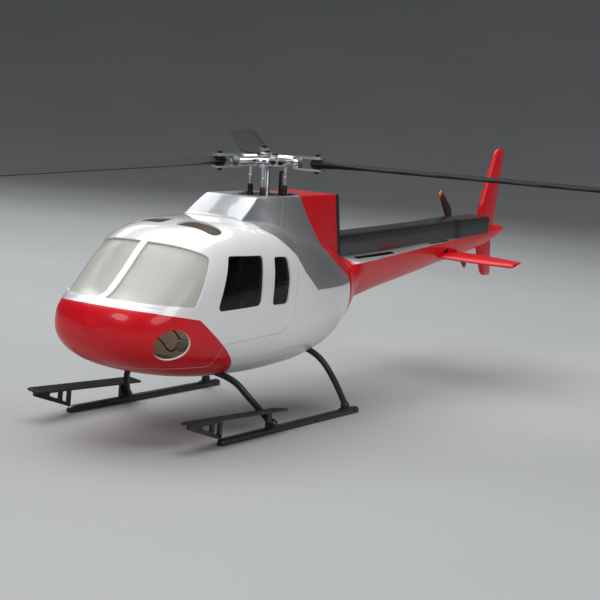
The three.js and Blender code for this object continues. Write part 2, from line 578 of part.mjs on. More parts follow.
function hub() {
  let solid = rod([0, 0, HUB_Z - 8.5], [0, 0, HUB_Z + 8.5], 9.6, 16);
  BLADE_AZIMUTH.forEach((a) => {
    const [[x0, y0], [x1, y1]] = turned([[10, 0], [31, 0]], a);
    const lug = turned([[4, -6.4], [13.6, -6.4], [13.6, 6.4], [4, 6.4]], a);
    solid = solid.add(plate(lug, HUB_Z - 6, HUB_Z + 6))
      .add(rod([x0, y0, HUB_Z], [x1, y1, HUB_Z], SPINDLE_R, 10));
  });
  return solid.subtract(rod([0, 0, HUB_Z - 20], [0, 0, HUB_Z + 6.5], BORE_R, 12));
}
// grip: barrel round the spindle, two jaws for the blade root, arm and pin for the pitch link
function grip() {
  return join(rod([15, 0, HUB_Z], [39, 0, HUB_Z], GRIP_R, 14),
    plate(JAW, HUB_Z - 7.5, HUB_Z - 5), plate(JAW, HUB_Z + 5, HUB_Z + 7.5),
    box(33, 41, -6.4, 6.4, HUB_Z - 7.5, HUB_Z + 7.5),
    plate(PITCH_ARM, HUB_Z - 2.6, HUB_Z + 2.6),
    rod([18, -LINK_ARM, HUB_Z], [-2, -LINK_ARM, HUB_Z], PIN_R, 10))
    .subtract(rod([14, 0, HUB_Z], [32, 0, HUB_Z], SPINDLE_R + 0.6, 10))
    .subtract(rod([BOLT_R, 0, HUB_Z - 10], [BOLT_R, 0, HUB_Z + 10], 1.9, 8));
}
function bladeBolt() {
  return join(rod([BOLT_R, 0, HUB_Z - 7.9], [BOLT_R, 0, HUB_Z + 7.9], 1.5, 8),
    rod([BOLT_R, 0, HUB_Z + 7.8], [BOLT_R, 0, HUB_Z + 11.4], 3, 8),
    rod([BOLT_R, 0, HUB_Z - 11], [BOLT_R, 0, HUB_Z - 7.8], 2.8, 6));
}
// blade, drawn from its bolt outwards
function blade() {
  const rings = BLADE.map(([u, front, rear, thick]) =>
    foil(-front, rear, thick, (c, h) => [u - BOLT_R, c, h]));
  return loft(rings).subtract(rod([0, 0, -10], [0, 0, 10], 1.9, 8));
}
// pitch link: cross barrel round the grip's pin, stem and ball link down to the swashplate
function pitchLink() {
  return join(rod([LINK_U - 8, -LINK_ARM, HUB_Z], [LINK_U + 8, -LINK_ARM, HUB_Z], 3.5, 12),
    rod([LINK_U, -LINK_ARM, 50], [LINK_U, -LINK_ARM, HUB_Z - 2.6], 1.9, 8),
    rod([LINK_U, -LINK_ARM, 42], [LINK_U, -LINK_ARM, 53], 3.1, 8))
    .subtract(rod([LINK_U - 9, -LINK_ARM, HUB_Z], [LINK_U + 9, -LINK_ARM, HUB_Z], 2.1, 10));
}
add('rotor_hub', hub(), 'alloy', mechanics);
BLADE_AZIMUTH.forEach((a, i) => {
  const arm = new THREE.Group();
  arm.rotation.z = a;
  mechanics.add(arm);
  const leaning = new THREE.Group();
  leaning.position.set(BOLT_R, 0, HUB_Z);
  leaning.rotation.y = HANG[i];
  arm.add(leaning);
  add(`blade_grip_${i + 1}`, grip(), 'alloy', arm);
  add(`blade_bolt_${i + 1}`, bladeBolt(), 'black', arm);
  add(`main_blade_${i + 1}`, blade(), 'carbon', leaning);
  add(`pitch_link_${i + 1}`, pitchLink(), 'alloy', arm);
});

// ---------------------------------------------------------------- swashplate and its guide
const RING_R = [22, 15.6];           // fixed ring, outside and inside
const INNER_R = 14.7;
const BALL_ARMS = [[15, 27.3], [15, -27.3], [-29, 7.7]];   // where the swash rods reach the ring
const GUIDE_X = [-37.4, -33.4];
const GUIDE_TOP = 63;

function fixedRing() {
  let ring = join(rod([0, 0, SWASH_Z - 3.5], [0, 0, SWASH_Z + 3.5], RING_R[0], 16),
    rod([-20, 0, SWASH_Z], [-38.6, 0, SWASH_Z], 1.3, 10));
  BALL_ARMS.forEach(([x, y]) => {
    ring = ring.add(rod([x * 0.7, y * 0.7, SWASH_Z], [x, y, SWASH_Z], 2.2, 6)).add(ball(x, y, SWASH_Z, 2.6));
  });
  return ring.subtract(rod([0, 0, SWASH_Z - 9], [0, 0, SWASH_Z + 9], RING_R[1], 16));
}
function turningRing() {
  let ring = rod([0, 0, SWASH_Z - 4], [0, 0, SWASH_Z + 8], INNER_R, 16);
  BLADE_AZIMUTH.forEach((a) => {
    const [[x, y]] = turned([[LINK_U, -LINK_ARM]], a);
    ring = ring.add(rod([x * 0.4, y * 0.4, SWASH_Z + 6.2], [x, y, SWASH_Z + 6.2], 2, 6))
      .add(ball(x, y, SWASH_Z + 8.6, 2.7));
  });
  return ring.subtract(rod([0, 0, 0], [0, 0, 60], SHAFT_R + 0.6, 12));
}
add('swash_outer', fixedRing(), 'alloy', mechanics);
add('swash_inner', turningRing(), 'alloy', mechanics);
const guide = join(box(...GUIDE_X, -4.2, 4.2, -17.6, GUIDE_TOP),
  rod([GUIDE_X[0], 0, GUIDE_TOP], [GUIDE_X[1], 0, GUIDE_TOP], 4.2, 16))
  .subtract(box(-40, -30, -1.8, 1.8, 20, GUIDE_TOP))
  .subtract(rod([-40, 0, GUIDE_TOP], [-30, 0, GUIDE_TOP], 1.8, 12));
add('anti_rotation_guide', guide, 'black', mechanics);

// ---------------------------------------------------------------- cyclic servos, horns and rods
// axle place (x, y), the way it points, case depth and how far the lug plate reaches in front
const SERVOS = [
  { name: 'left', x: 1, y: 22, way: 1, depth: 13.5, lug: 9 },
  { name: 'right', x: 1, y: -22, way: -1, depth: 13.5, lug: 9 },
  { name: 'rear', x: -43, y: 2.4, way: 1, depth: 12.5, lug: 5.2 },
];
const AXLE_Z = -4;
SERVOS.forEach(({ name, x, y, way, depth, lug }) => {
  const across = (from, to) => [y + way * from, y + way * to].sort((p, q) => p - q);
  const alongAxle = (from, to, px, pz, r, sides) =>
    rod([px, y + way * from, pz], [px, y + way * to, pz], r, sides);
  const servo = join(box(x - 24, x + 5.2, ...across(-depth, 0), -17.4, 3),
    alongAxle(-1, 2, x, AXLE_Z, 3.6, 14), box(x - 27, x + lug, ...across(-4.5, -3), -10, -2));
  add(`servo_${name}`, servo, 'servo', mechanics);
  const tip = x + HORN;
  const horn = join(sidePlate([[x - 3.6, AXLE_Z - 3], [tip - 1, AXLE_Z - 2.2], [tip + 2, AXLE_Z],
    [tip - 1, AXLE_Z + 2.2], [x - 3.6, AXLE_Z + 3]], ...across(2.4, 3.8)),
  alongAxle(3, 7, tip, AXLE_Z, 1.3, 10));
  add(`servo_horn_${name}`, horn, 'plastic', mechanics);
  const link = join(alongAxle(4.5, 6.1, tip, AXLE_Z, 4.2, 10),
    rod([tip, y + way * 5.3, -0.4], [tip, y + way * 5.3, SWASH_Z - 5], 1.3, 10),
    rod([tip, y + way * 5.3, SWASH_Z - 9], [tip, y + way * 5.3, SWASH_Z - 3], 2.6, 12))
    .subtract(alongAxle(4, 6.6, tip, AXLE_Z, 2.7, 10));
  add(`swash_rod_${name}`, link, 'plastic', mechanics);
});

// ---------------------------------------------------------------- tail drive and tail rotor
// tail blade sections: distance from the hub, leading edge, trailing edge, thickness
const TAIL_BLADE = [[19, -4, 4, 5], [24, -7, 10, 4.6], [34, -8.5, 13, 3.6], [TAIL_R - 8, -4.5, 6.5, 2.6],
  [TAIL_R - 1, -3.8, 5.4, 2], [TAIL_R, -2.8, 4.2, 1.2]];
const SLIDER_ARM = [[0, 4], [0, -4], [8, -10.6], [14.6, -10.6], [14.6, -6]];

const tube = rod([-50, 0, TUBE_Z], [16 - TAIL_D, 0, TUBE_Z], TUBE_R, 18)
  .subtract(rod([-40, 0, TUBE_Z], [-TAIL_D, 0, TUBE_Z], TUBE_R - 1, 18));
add('tail_boom_tube', tube, 'carbon', mechanics);
const gearbox = box(-TAIL_D - 4.2, -TAIL_D + 15.6, -9, 9, TUBE_Z - 9, TUBE_Z + 4.4)
  .subtract(rod([-TAIL_D, -20, TUBE_Z], [-TAIL_D, 4, TUBE_Z], 2.9, 16));
add('tail_gearbox', gearbox, 'alloy', mechanics);
const tailServo = join(box(-112, -84, -22, -9, TUBE_Z - 8, TUBE_Z + 12),
  box(-116, -80, -14, -12, TUBE_Z - 2, TUBE_Z + 6),
  rod([-90, -9.5, TUBE_Z + 4], [-90, -8, TUBE_Z + 4], 3, 12));
add('tail_servo', tailServo, 'servo', mechanics);

const tailRotor = new THREE.Group();
tailRotor.position.set(-TAIL_D, TAIL_Y, TUBE_Z);
tailRotor.rotation.y = -TAIL_ANGLE;
mechanics.add(tailRotor);
function tailBlade() {
  const paddle = loft(TAIL_BLADE.map(([u, front, rear, thick]) =>
    foil(front, rear, thick, (c, h) => [u, h, c])));
  return join(paddle, rod([7, 0, 0], [22, 0, 0], 4, 14),
    box(TAIL_ARM[0] - 2, TAIL_ARM[0] + 2, -1.2, 1.2, -TAIL_ARM[1], -2),
    ball(TAIL_ARM[0], 0, -TAIL_ARM[1], 1.7))
    .subtract(rod([6, 0, 0], [15.5, 0, 0], 1.9, 12));
}
const tailShaft = join(rod([0, -6, 0], [0, 3 - TAIL_Y, 0], 2.5, 14), box(-6, 6, -4, 4, -4, 4),
  rod([-14, 0, 0], [14, 0, 0], 1.5, 10));
add('tail_shaft', tailShaft, 'steel', tailRotor);
[0, Math.PI].forEach((turn, i) => {
  const side = new THREE.Group();
  side.rotation.y = turn;
  tailRotor.add(side);
  add(`tail_blade_${i + 1}`, tailBlade(), 'black', side);
});
// slider: ring round the shaft, an arm and a pin towards each blade's pitch ball
let slider = rod([0, 13.5, 0], [0, 8.5, 0], 5.6, 20);
[1, -1].forEach((way) => {
  const [x, z] = [TAIL_ARM[0] * way, -TAIL_ARM[1] * way];
  slider = slider.add(sidePlate(SLIDER_ARM.map(([px, pz]) => [px * way, pz * way]), 9, 11))
    .add(box(x - 1.3, x + 1.3, 2.2, 9.5, z - 1.3, z + 1.3));
});
slider = slider.subtract(rod([0, 20, 0], [0, 0, 0], 2.8, 16));
add('tail_pitch_slider', slider, 'black', tailRotor);

export default root;
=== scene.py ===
"""Looks of the remote control helicopter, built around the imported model.

Lengths are millimetres in the ground frame: X to the nose, Y to the left, Z up from the ground
under the skids, with the rotor mast at X = 0.  The mechanics group leans forward by TILT about
the pivot, and its parts are drawn in its own frame and placed by MECH.
"""
from math import atan, atan2, copysign, cos, dist, exp, hypot, pi, radians, sin, sqrt, tan

import bmesh
import bpy
import numpy as np
from mathutils import Matrix, Vector
from mathutils.geometry import delaunay_2d_cdt


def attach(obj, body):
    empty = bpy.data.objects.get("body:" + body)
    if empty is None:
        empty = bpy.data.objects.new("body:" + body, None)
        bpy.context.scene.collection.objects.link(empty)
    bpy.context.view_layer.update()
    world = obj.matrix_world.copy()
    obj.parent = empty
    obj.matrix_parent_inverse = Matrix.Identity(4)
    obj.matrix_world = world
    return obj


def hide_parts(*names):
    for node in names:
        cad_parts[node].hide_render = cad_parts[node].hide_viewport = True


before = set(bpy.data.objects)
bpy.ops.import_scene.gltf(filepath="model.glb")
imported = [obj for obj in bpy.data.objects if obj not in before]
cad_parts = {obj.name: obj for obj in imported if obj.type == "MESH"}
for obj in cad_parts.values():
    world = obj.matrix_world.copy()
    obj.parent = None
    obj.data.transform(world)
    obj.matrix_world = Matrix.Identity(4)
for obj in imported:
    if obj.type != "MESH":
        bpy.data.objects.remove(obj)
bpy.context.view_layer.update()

# ------------------------------------------------------------ driving dimensions
HATCH_Z = 53.5                    # height of the part's origin above the ground
TILT = radians(4.2)
PIVOT_Z = 200.0
WALL = 2.0                        # thickness of canopy and fuselage
GAP = 0.4                         # open joint between mouldings
GLASS = 0.9                       # thickness of the window sheets
NOSE_TIP = 309.0
NOSE_ROUND = 3.0                  # length over which the tip closes
NOSE_Z = 114.0
BODY_END = -141.0                 # rear end of the fuselage
BOOM_START = -168.0               # the boom's own sections begin here; ahead of it they blend
COWL_FRONT = 72.0
COWL_REAR = -98.0
COWL_HALF = 33.0                  # half width of the cowl's lid
COWL_TOP = (242.0, 246.0)         # height of the lid at its front and rear
COWL_NOSE = 125.0                 # the cowl's sloping front ends on the body behind this
COWL_FALL = 1.4                   # run of that front for each millimetre of fall
COWL_FOOT = (190.0, -30.0, 0.27)  # lowest height of the cowl, and its fall behind an x
CORNER_SOFT = 1.8                 # reach of the rounding at the cowl's corner
FOOT_SOFT = 2.4                   # and along its foot
MAST_HOLE = (52.0, 28.5)          # half length and half width
PILLAR = 3.9                      # half width of the bar between the windshield panes
BLADE_AZIMUTH = [radians(a) for a in (-24, 96, -144)]
HUB_Z = 81.7                      # height of the rotor head above the pivot
BOLT_R = 62.0                     # blade bolt from the mast
TIP_R = 490.0
CHORD = 36.0
LEADING = 11.0                    # blade edge ahead of the pitch axis
HANG = [radians(a) for a in (2.1, 0.1, 0.4)]
LINK_ARM = 21.8                   # pitch link ahead of the blade's pitch axis
LINK_U = 6.7                      # and out from the mast
SWASH_Z = 29.5
GEAR_R = 38.0
PINION_R = 5.2
MOTOR_X = GEAR_R + PINION_R + 0.3
GEAR_Z = -62.0
TUBE_Z = -56.0
TUBE_R = 7.0
TAIL_D = 580.5                    # tail rotor shaft behind the mast
TAIL_Y = -38.0
TAIL_R = 79.5
TAIL_ANGLE = radians(45) + TILT
TAIL_ARM = (12.5, 8.6)            # pitch pin of a tail blade, out and across
TAIL_HUB = (-TAIL_D, TAIL_Y, TUBE_Z)
TIP_BAND = 74.5                   # start of the orange tip, from the tail shaft
TRACK = 97.0                      # skid from the middle plane
MAP_STEP = 2.5                    # spacing of points along outlines
MAP_STRETCH = 3.5                 # longest step on the flat map before it is halved
GRID_STEP = 5.0                   # spacing of points all over the flat map
GRID_CLEAR = 1.7                  # and their least distance from a line
SIDES = ((1, "left"), (-1, "right"))
MECH = Matrix.Translation((0, 0, PIVOT_Z)) @ Matrix.Rotation(TILT, 4, "Y")


# ------------------------------------------------------------ camera, light and floor
def to_metres(p):
    """Ground-frame millimetres to the scene's metres, from the part's own origin."""
    return Vector((p[0], p[1], p[2] - HATCH_Z)) / 1000


def turns(count):
    """Angles of equal steps once round."""
    return [2 * pi * k / count for k in range(count)]


def add_camera():
    """Camera by its angles and place in the ground frame, tilted a little to one side."""
    yaw, pitch, roll = (radians(a) for a in (210.66777, 6.0797, 4.9369))
    ahead = Vector((cos(yaw) * cos(pitch), sin(yaw) * cos(pitch), -sin(pitch)))
    level = ahead.cross(Vector((0, 0, 1))).normalized()
    above = level.cross(ahead)
    right = cos(roll) * level + sin(roll) * above
    up = -sin(roll) * level + cos(roll) * above
    data = bpy.data.cameras.new("camera")
    data.sensor_width = 36.0
    data.lens = 89.511
    data.shift_y = -0.0333
    camera = bpy.data.objects.new("camera", data)
    turn = Matrix((right, up, -ahead)).transposed().to_4x4()
    camera.matrix_world = Matrix.Translation(to_metres((1425.658, 898.203, 328.168))) @ turn
    bpy.context.scene.collection.objects.link(camera)
    bpy.context.scene.camera = camera


def soft_light(name, place, aim, size, power):
    """Round area light in metres and watts, turned to its aim."""
    data = bpy.data.lights.new(name, "AREA")
    data.shape = "DISK"
    data.size = size
    data.energy = power
    light = bpy.data.objects.new(name, data)
    light.location = place
    light.rotation_euler = (Vector(aim) - Vector(place)).to_track_quat("-Z", "Y").to_euler()
    bpy.context.scene.collection.objects.link(light)


# name, place, aim, diameter in metres, power
LIGHTS = [("sky_light", (-0.5, -0.8, 2.7), (0, 0, 0.1), 4.2, 104),
          ("front_light", (2.4, 0.1, 1.7), (0.1, 0, 0.1), 1.4, 30),
          ("side_light", (0.2, 2.6, 1.3), (-0.1, 0, 0.1), 1.6, 24),
          ("back_light", (-1.0, -1.8, 2.7), (0.1, 0, 0.15), 1.9, 24)]
# the floor in metres: flat part, radius of the upward curve, height and fineness of the wall
FLOOR_R = 4.6
CURVE_R = 2.6
WALL_TOP = 7.5
FLOOR_SIDES = 96


def add_studio():
    """Round floor that curves up into a wall, the lights and the world's colour."""
    profile = [(2.5, 0.0), (FLOOR_R, 0.0)]
    profile += [(FLOOR_R + CURVE_R * sin(t), CURVE_R - CURVE_R * cos(t))
                for t in (pi * k / 40 for k in range(1, 21))]
    profile.append((FLOOR_R + CURVE_R, WALL_TOP))
    points = [(r * cos(t), r * sin(t), z - HATCH_Z / 1000)
              for r, z in profile for t in turns(FLOOR_SIDES)]
    faces = [tuple(range(FLOOR_SIDES))]
    for row in range(len(profile) - 1):
        for k in range(FLOOR_SIDES):
            a, b = row * FLOOR_SIDES + k, row * FLOOR_SIDES + (k + 1) % FLOOR_SIDES
            faces.append((a + FLOOR_SIDES, b + FLOOR_SIDES, b, a))
    mesh = bpy.data.meshes.new("floor")
    mesh.from_pydata(points, [], faces)
    mesh.shade_smooth()
    pale = mottled("floor", 1.5, 3, (0.33, 0.34, 0.345), (0.36, 0.37, 0.375), (0.75, 0.85))
    mesh.materials.append(pale)
    floor = bpy.data.objects.new("floor", mesh)
    bpy.context.scene.collection.objects.link(floor)
    for light in LIGHTS:
        soft_light(*light)
    world = bpy.data.worlds.new("studio")
    world.use_nodes = True
    sky = world.node_tree.nodes["Background"]
    sky.inputs["Color"].default_value = (0.86, 0.9, 0.95, 1)
    sky.inputs["Strength"].default_value = 0.22
    bpy.context.scene.world = world
    bpy.context.scene.view_settings.view_transform = "Standard"


# ------------------------------------------------------------ materials
class Nodes:
    """Short calls for building one material's node tree."""

    def __init__(self, name):
        self.material = bpy.data.materials.new(name)
        self.material.use_nodes = True
        self.tree = self.material.node_tree
        self.shader = self.tree.nodes["Principled BSDF"]
        self.place = self.node("ShaderNodeTexCoord").outputs["Object"]

    def node(self, kind, **settings):
        made = self.tree.nodes.new(kind)
        for key, value in settings.items():
            setattr(made, key, value)
        return made

    def link(self, source, target):
        self.tree.links.new(source, target)

    def set(self, **values):
        for key, value in values.items():
            self.shader.inputs[key.replace("_", " ")].default_value = value

    def noise(self, scale, detail=3.0, stretch=None):
        made = self.node("ShaderNodeTexNoise")
        made.inputs["Scale"].default_value = scale
        made.inputs["Detail"].default_value = detail
        made.inputs["Roughness"].default_value = 0.55
        self.link(self.stretched(stretch), made.inputs["Vector"])
        return made.outputs["Fac"]

    def stretched(self, stretch, turn=(0, 0, 0)):
        if stretch is None:
            return self.place
        made = self.node("ShaderNodeMapping")
        made.inputs["Scale"].default_value = stretch
        made.inputs["Rotation"].default_value = turn
        self.link(self.place, made.inputs["Vector"])
        return made.outputs["Vector"]

    def ramp(self, source, low, high, start=0.3, stop=0.7):
        """Colour between low and high as the source goes from start to stop."""
        made = self.node("ShaderNodeValToRGB")
        made.color_ramp.elements[0].position = start
        made.color_ramp.elements[1].position = stop
        made.color_ramp.elements[0].color = (*low, 1)
        made.color_ramp.elements[1].color = (*high, 1)
        self.link(source, made.inputs["Fac"])
        return made.outputs["Color"]

    def span(self, source, low, high, start=0.3, stop=0.7):
        """Value between low and high as the source goes from start to stop."""
        made = self.node("ShaderNodeMapRange")
        made.inputs["From Min"].default_value = start
        made.inputs["From Max"].default_value = stop
        made.inputs["To Min"].default_value = low
        made.inputs["To Max"].default_value = high
        self.link(source, made.inputs["Value"])
        return made.outputs["Result"]

    def math(self, operation, a, b=None):
        made = self.node("ShaderNodeMath", operation=operation)
        for socket, value in zip(made.inputs, (a, b)):
            if value is None:
                continue
            if isinstance(value, (int, float)):
                socket.default_value = value
            else:
                self.link(value, socket)
        return made.outputs[0]

    def axis(self, name, stretch=None, turn=(0, 0, 0)):
        made = self.node("ShaderNodeSeparateXYZ")
        self.link(self.stretched(stretch, turn), made.inputs[0])
        return made.outputs[name]

    def color(self, source, low, high, start=0.3, stop=0.7):
        """Colour of the surface, following the source."""
        self.link(self.ramp(source, low, high, start, stop), self.shader.inputs["Base Color"])

    def rough(self, source, low, high, start=0.3, stop=0.7):
        """Roughness of the surface, following the source."""
        self.link(self.span(source, low, high, start, stop), self.shader.inputs["Roughness"])

    def bump(self, height, strength, distance):
        made = self.node("ShaderNodeBump")
        made.inputs["Strength"].default_value = strength
        made.inputs["Distance"].default_value = distance
        self.link(height, made.inputs["Height"])
        self.link(made.outputs["Normal"], self.shader.inputs["Normal"])


def gloss_paint(name, low, high, roughness, coat=1.0, metallic=0.0, flake=0.0, shine=0.5):
    """Sprayed paint under clear coat: faint mottling, orange peel, and flakes in a metallic."""
    n = Nodes(name)
    mottle = n.noise(14, 4)
    n.color(mottle, low, high)
    grain = n.noise(2600, 1)
    peel = n.noise(260, 2)
    speckle = n.math("ADD", n.math("MULTIPLY", grain, flake), mottle)
    n.rough(speckle, roughness * 0.85, roughness * 1.15 + flake * 0.1)
    n.set(Metallic=metallic, Coat_Weight=coat, Coat_Roughness=0.04, IOR=1.5, Specular_IOR_Level=shine)
    n.bump(n.math("ADD", peel, n.math("MULTIPLY", grain, flake)), 0.035, 0.0006)
    return n.material


def moulding_inside():
    """Raw glass-fibre inside of a moulded shell: cloth weave, resin pooling, beige gel coat."""
    n = Nodes("moulding_inside")
    warp = n.node("ShaderNodeTexWave", bands_direction="X")
    weft = n.node("ShaderNodeTexWave", bands_direction="Z")
    for wave in (warp, weft):
        wave.inputs["Scale"].default_value = 190
        wave.inputs["Distortion"].default_value = 0.6
        n.link(n.place, wave.inputs["Vector"])
    cloth = n.math("MULTIPLY", warp.outputs["Fac"], weft.outputs["Fac"])
    stain = n.noise(22, 5)
    n.color(stain, (0.80, 0.60, 0.46), (0.90, 0.71, 0.57))
    n.rough(stain, 0.42, 0.68)
    n.bump(cloth, 0.35, 0.0006)
    return n.material


def mottled(name, scale, detail, low, high, rough, stretch=None, bump=None):
    """Material whose colour, roughness and bumps all follow one noise."""
    n = Nodes(name)
    field = n.noise(scale, detail, stretch)
    n.color(field, low, high)
    n.rough(field, *rough)
    if bump:
        n.bump(field, *bump)
    return n.material


def satin_plastic(name, low, high, roughness=0.42, grain=0.12):
    """Moulded plastic or powder coat with a fine grain and faint handling marks."""
    n = Nodes(name)
    marks = n.noise(38, 5)
    skin = n.noise(1100, 2)
    n.color(marks, low, high)
    n.rough(marks, roughness - 0.06, roughness + 0.1)
    n.bump(skin, grain, 0.0003)
    return n.material


def metal(name, low, high, roughness, stretch):
    """Turned or ground metal: fine tool lines along one direction and slight tarnish."""
    n = Nodes(name)
    lines = n.noise(420, 4, stretch=stretch)
    tarnish = n.noise(60, 3)
    n.color(tarnish, low, high)
    n.rough(lines, roughness * 0.7, roughness * 1.35)
    n.set(Metallic=1.0)
    n.bump(lines, 0.08, 0.0002)
    return n.material


def carbon_cloth(name, coat, tow=1.9, roughness=0.34, shine=0.5):
    """Two-by-two twill under clear resin: tows of the given width that pass over two and under two."""
    n = Nodes(name)
    angle = (0, 0, radians(45))
    size = (1000 / tow,) * 3
    across = n.axis("X", size, angle)
    along = n.math("ADD", n.axis("Y", size, angle), n.axis("Z", size, angle))
    column = n.math("FLOOR", across)
    row = n.math("FLOOR", along)
    over = n.math("LESS_THAN", n.math("FLOORED_MODULO", n.math("ADD", column, row), 4), 2)
    fibre = n.noise(3000, 2)
    n.color(over, (0.008, 0.0085, 0.009), (0.028, 0.03, 0.032), 0.2, 0.8)
    n.rough(over, roughness, roughness + 0.12, 0, 1)
    n.set(Coat_Weight=coat, Coat_Roughness=0.06, Specular_IOR_Level=shine)
    n.bump(n.math("ADD", over, n.math("MULTIPLY", fibre, 0.3)), 0.12, 0.0002)
    return n.material


def tinted_sheet(name, color, roughness=0.03, clear=1.0, shine=0.5):
    """Clear plastic sheet with a tint, faint ripples from forming and a few specks of dust."""
    n = Nodes(name)
    ripple = n.noise(30, 2)
    dust = n.noise(700, 3)
    n.color(ripple, [c * 0.94 for c in color], color)
    n.rough(dust, roughness, roughness + 0.05, 0.55, 0.8)
    n.set(Transmission_Weight=clear, IOR=1.3, Specular_IOR_Level=shine)
    n.bump(ripple, 0.04, 0.001)
    return n.material


def blade_tip_paint():
    """Tail blade plastic, black with an orange tip beyond TIP_BAND from the tail shaft."""
    n = Nodes("tail_blade_plastic")
    hub = to_metres(MECH @ Vector(TAIL_HUB))
    offset = n.node("ShaderNodeVectorMath", operation="SUBTRACT")
    offset.inputs[1].default_value = hub
    n.link(n.place, offset.inputs[0])
    reach = n.node("ShaderNodeVectorMath", operation="LENGTH")
    n.link(offset.outputs[0], reach.inputs[0])
    tip = n.math("GREATER_THAN", reach.outputs["Value"], TIP_BAND / 1000)
    marks = n.noise(50, 4)
    mixed = n.node("ShaderNodeMix", data_type="RGBA")
    n.link(tip, mixed.inputs["Factor"])
    n.link(n.ramp(marks, (0.012, 0.012, 0.013), (0.02, 0.02, 0.022)), mixed.inputs["A"])
    n.link(n.ramp(marks, (0.82, 0.13, 0.015), (0.9, 0.17, 0.02)), mixed.inputs["B"])
    n.link(mixed.outputs["Result"], n.shader.inputs["Base Color"])
    n.rough(marks, 0.3, 0.42)
    n.bump(n.noise(900, 2), 0.08, 0.0002)
    return n.material


WHITE = gloss_paint("white_paint", (0.80, 0.805, 0.81), (0.84, 0.845, 0.85), 0.32)
RED = gloss_paint("red_paint", (0.60, 0.004, 0.010), (0.68, 0.006, 0.014), 0.36, 0.35, shine=0.2)
SILVER = gloss_paint("silver_paint", (0.31, 0.32, 0.33), (0.38, 0.39, 0.40), 0.36, 0.6, 0.75, 1.0)
BLACK_GLOSS = gloss_paint("black_gloss", (0.010, 0.011, 0.012), (0.016, 0.017, 0.018), 0.25, 0.8)
INSIDE = moulding_inside()
EDGE_HIGH = (0.88, 0.87, 0.85)
EDGE = mottled("shell_edge", 900, 3, [c * 0.82 for c in EDGE_HIGH], EDGE_HIGH, (0.5, 0.75),
               bump=(0.2, 0.0002))
BLACK = satin_plastic("black_satin", (0.010, 0.011, 0.012), (0.020, 0.021, 0.023), 0.34)
BLACK_PLASTIC = satin_plastic("black_plastic", (0.012, 0.012, 0.013), (0.022, 0.022, 0.024), 0.45)
SERVO_CASE = satin_plastic("servo_plastic", (0.012, 0.014, 0.02), (0.022, 0.025, 0.034), 0.38)
NYLON = satin_plastic("natural_nylon", (0.66, 0.64, 0.58), (0.74, 0.72, 0.66), 0.5, 0.1)
RED_ANODISED = metal("red_anodised", (0.42, 0.012, 0.016), (0.52, 0.02, 0.024), 0.3, (1, 1, 8))
ALLOY = metal("polished_alloy", (0.50, 0.51, 0.52), (0.60, 0.61, 0.62), 0.2, (1, 1, 14))
STEEL = metal("ground_steel", (0.46, 0.47, 0.49), (0.58, 0.59, 0.61), 0.28, (1, 1, 14))
BOLT = metal("black_oxide", (0.03, 0.03, 0.032), (0.05, 0.05, 0.053), 0.36, (4, 4, 4))
BRASS = metal("brass", (0.62, 0.44, 0.2), (0.72, 0.53, 0.26), 0.3, (4, 4, 4))
CARBON = carbon_cloth("carbon_plate", 0.35, 2.2, 0.42)
BLADE = carbon_cloth("blade_carbon", 0.0, roughness=0.5, shine=0.06)
# windshield and lamp lenses: a clear sheet with a milky, near-white base, partly its own light haze and
# partly painted reflection of a bright sky
CLEAR = tinted_sheet("smoky_sheet", (0.90, 0.92, 0.86), 0.2, 0.55)
DARK_CLEAR = tinted_sheet("dark_smoky_sheet", (0.22, 0.22, 0.225), 0.03, 1.0, 0.3)
BROWN_CLEAR = tinted_sheet("brown_sheet", (0.085, 0.068, 0.052), 0.35, 0.2, 0.05)
WRAP = mottled("shrink_wrap", 120, 5, (0.26, 0.016, 0.02), (0.38, 0.03, 0.035), (0.22, 0.4),
               (1, 3, 1), (0.25, 0.0008))
TAIL_BLADE = blade_tip_paint()


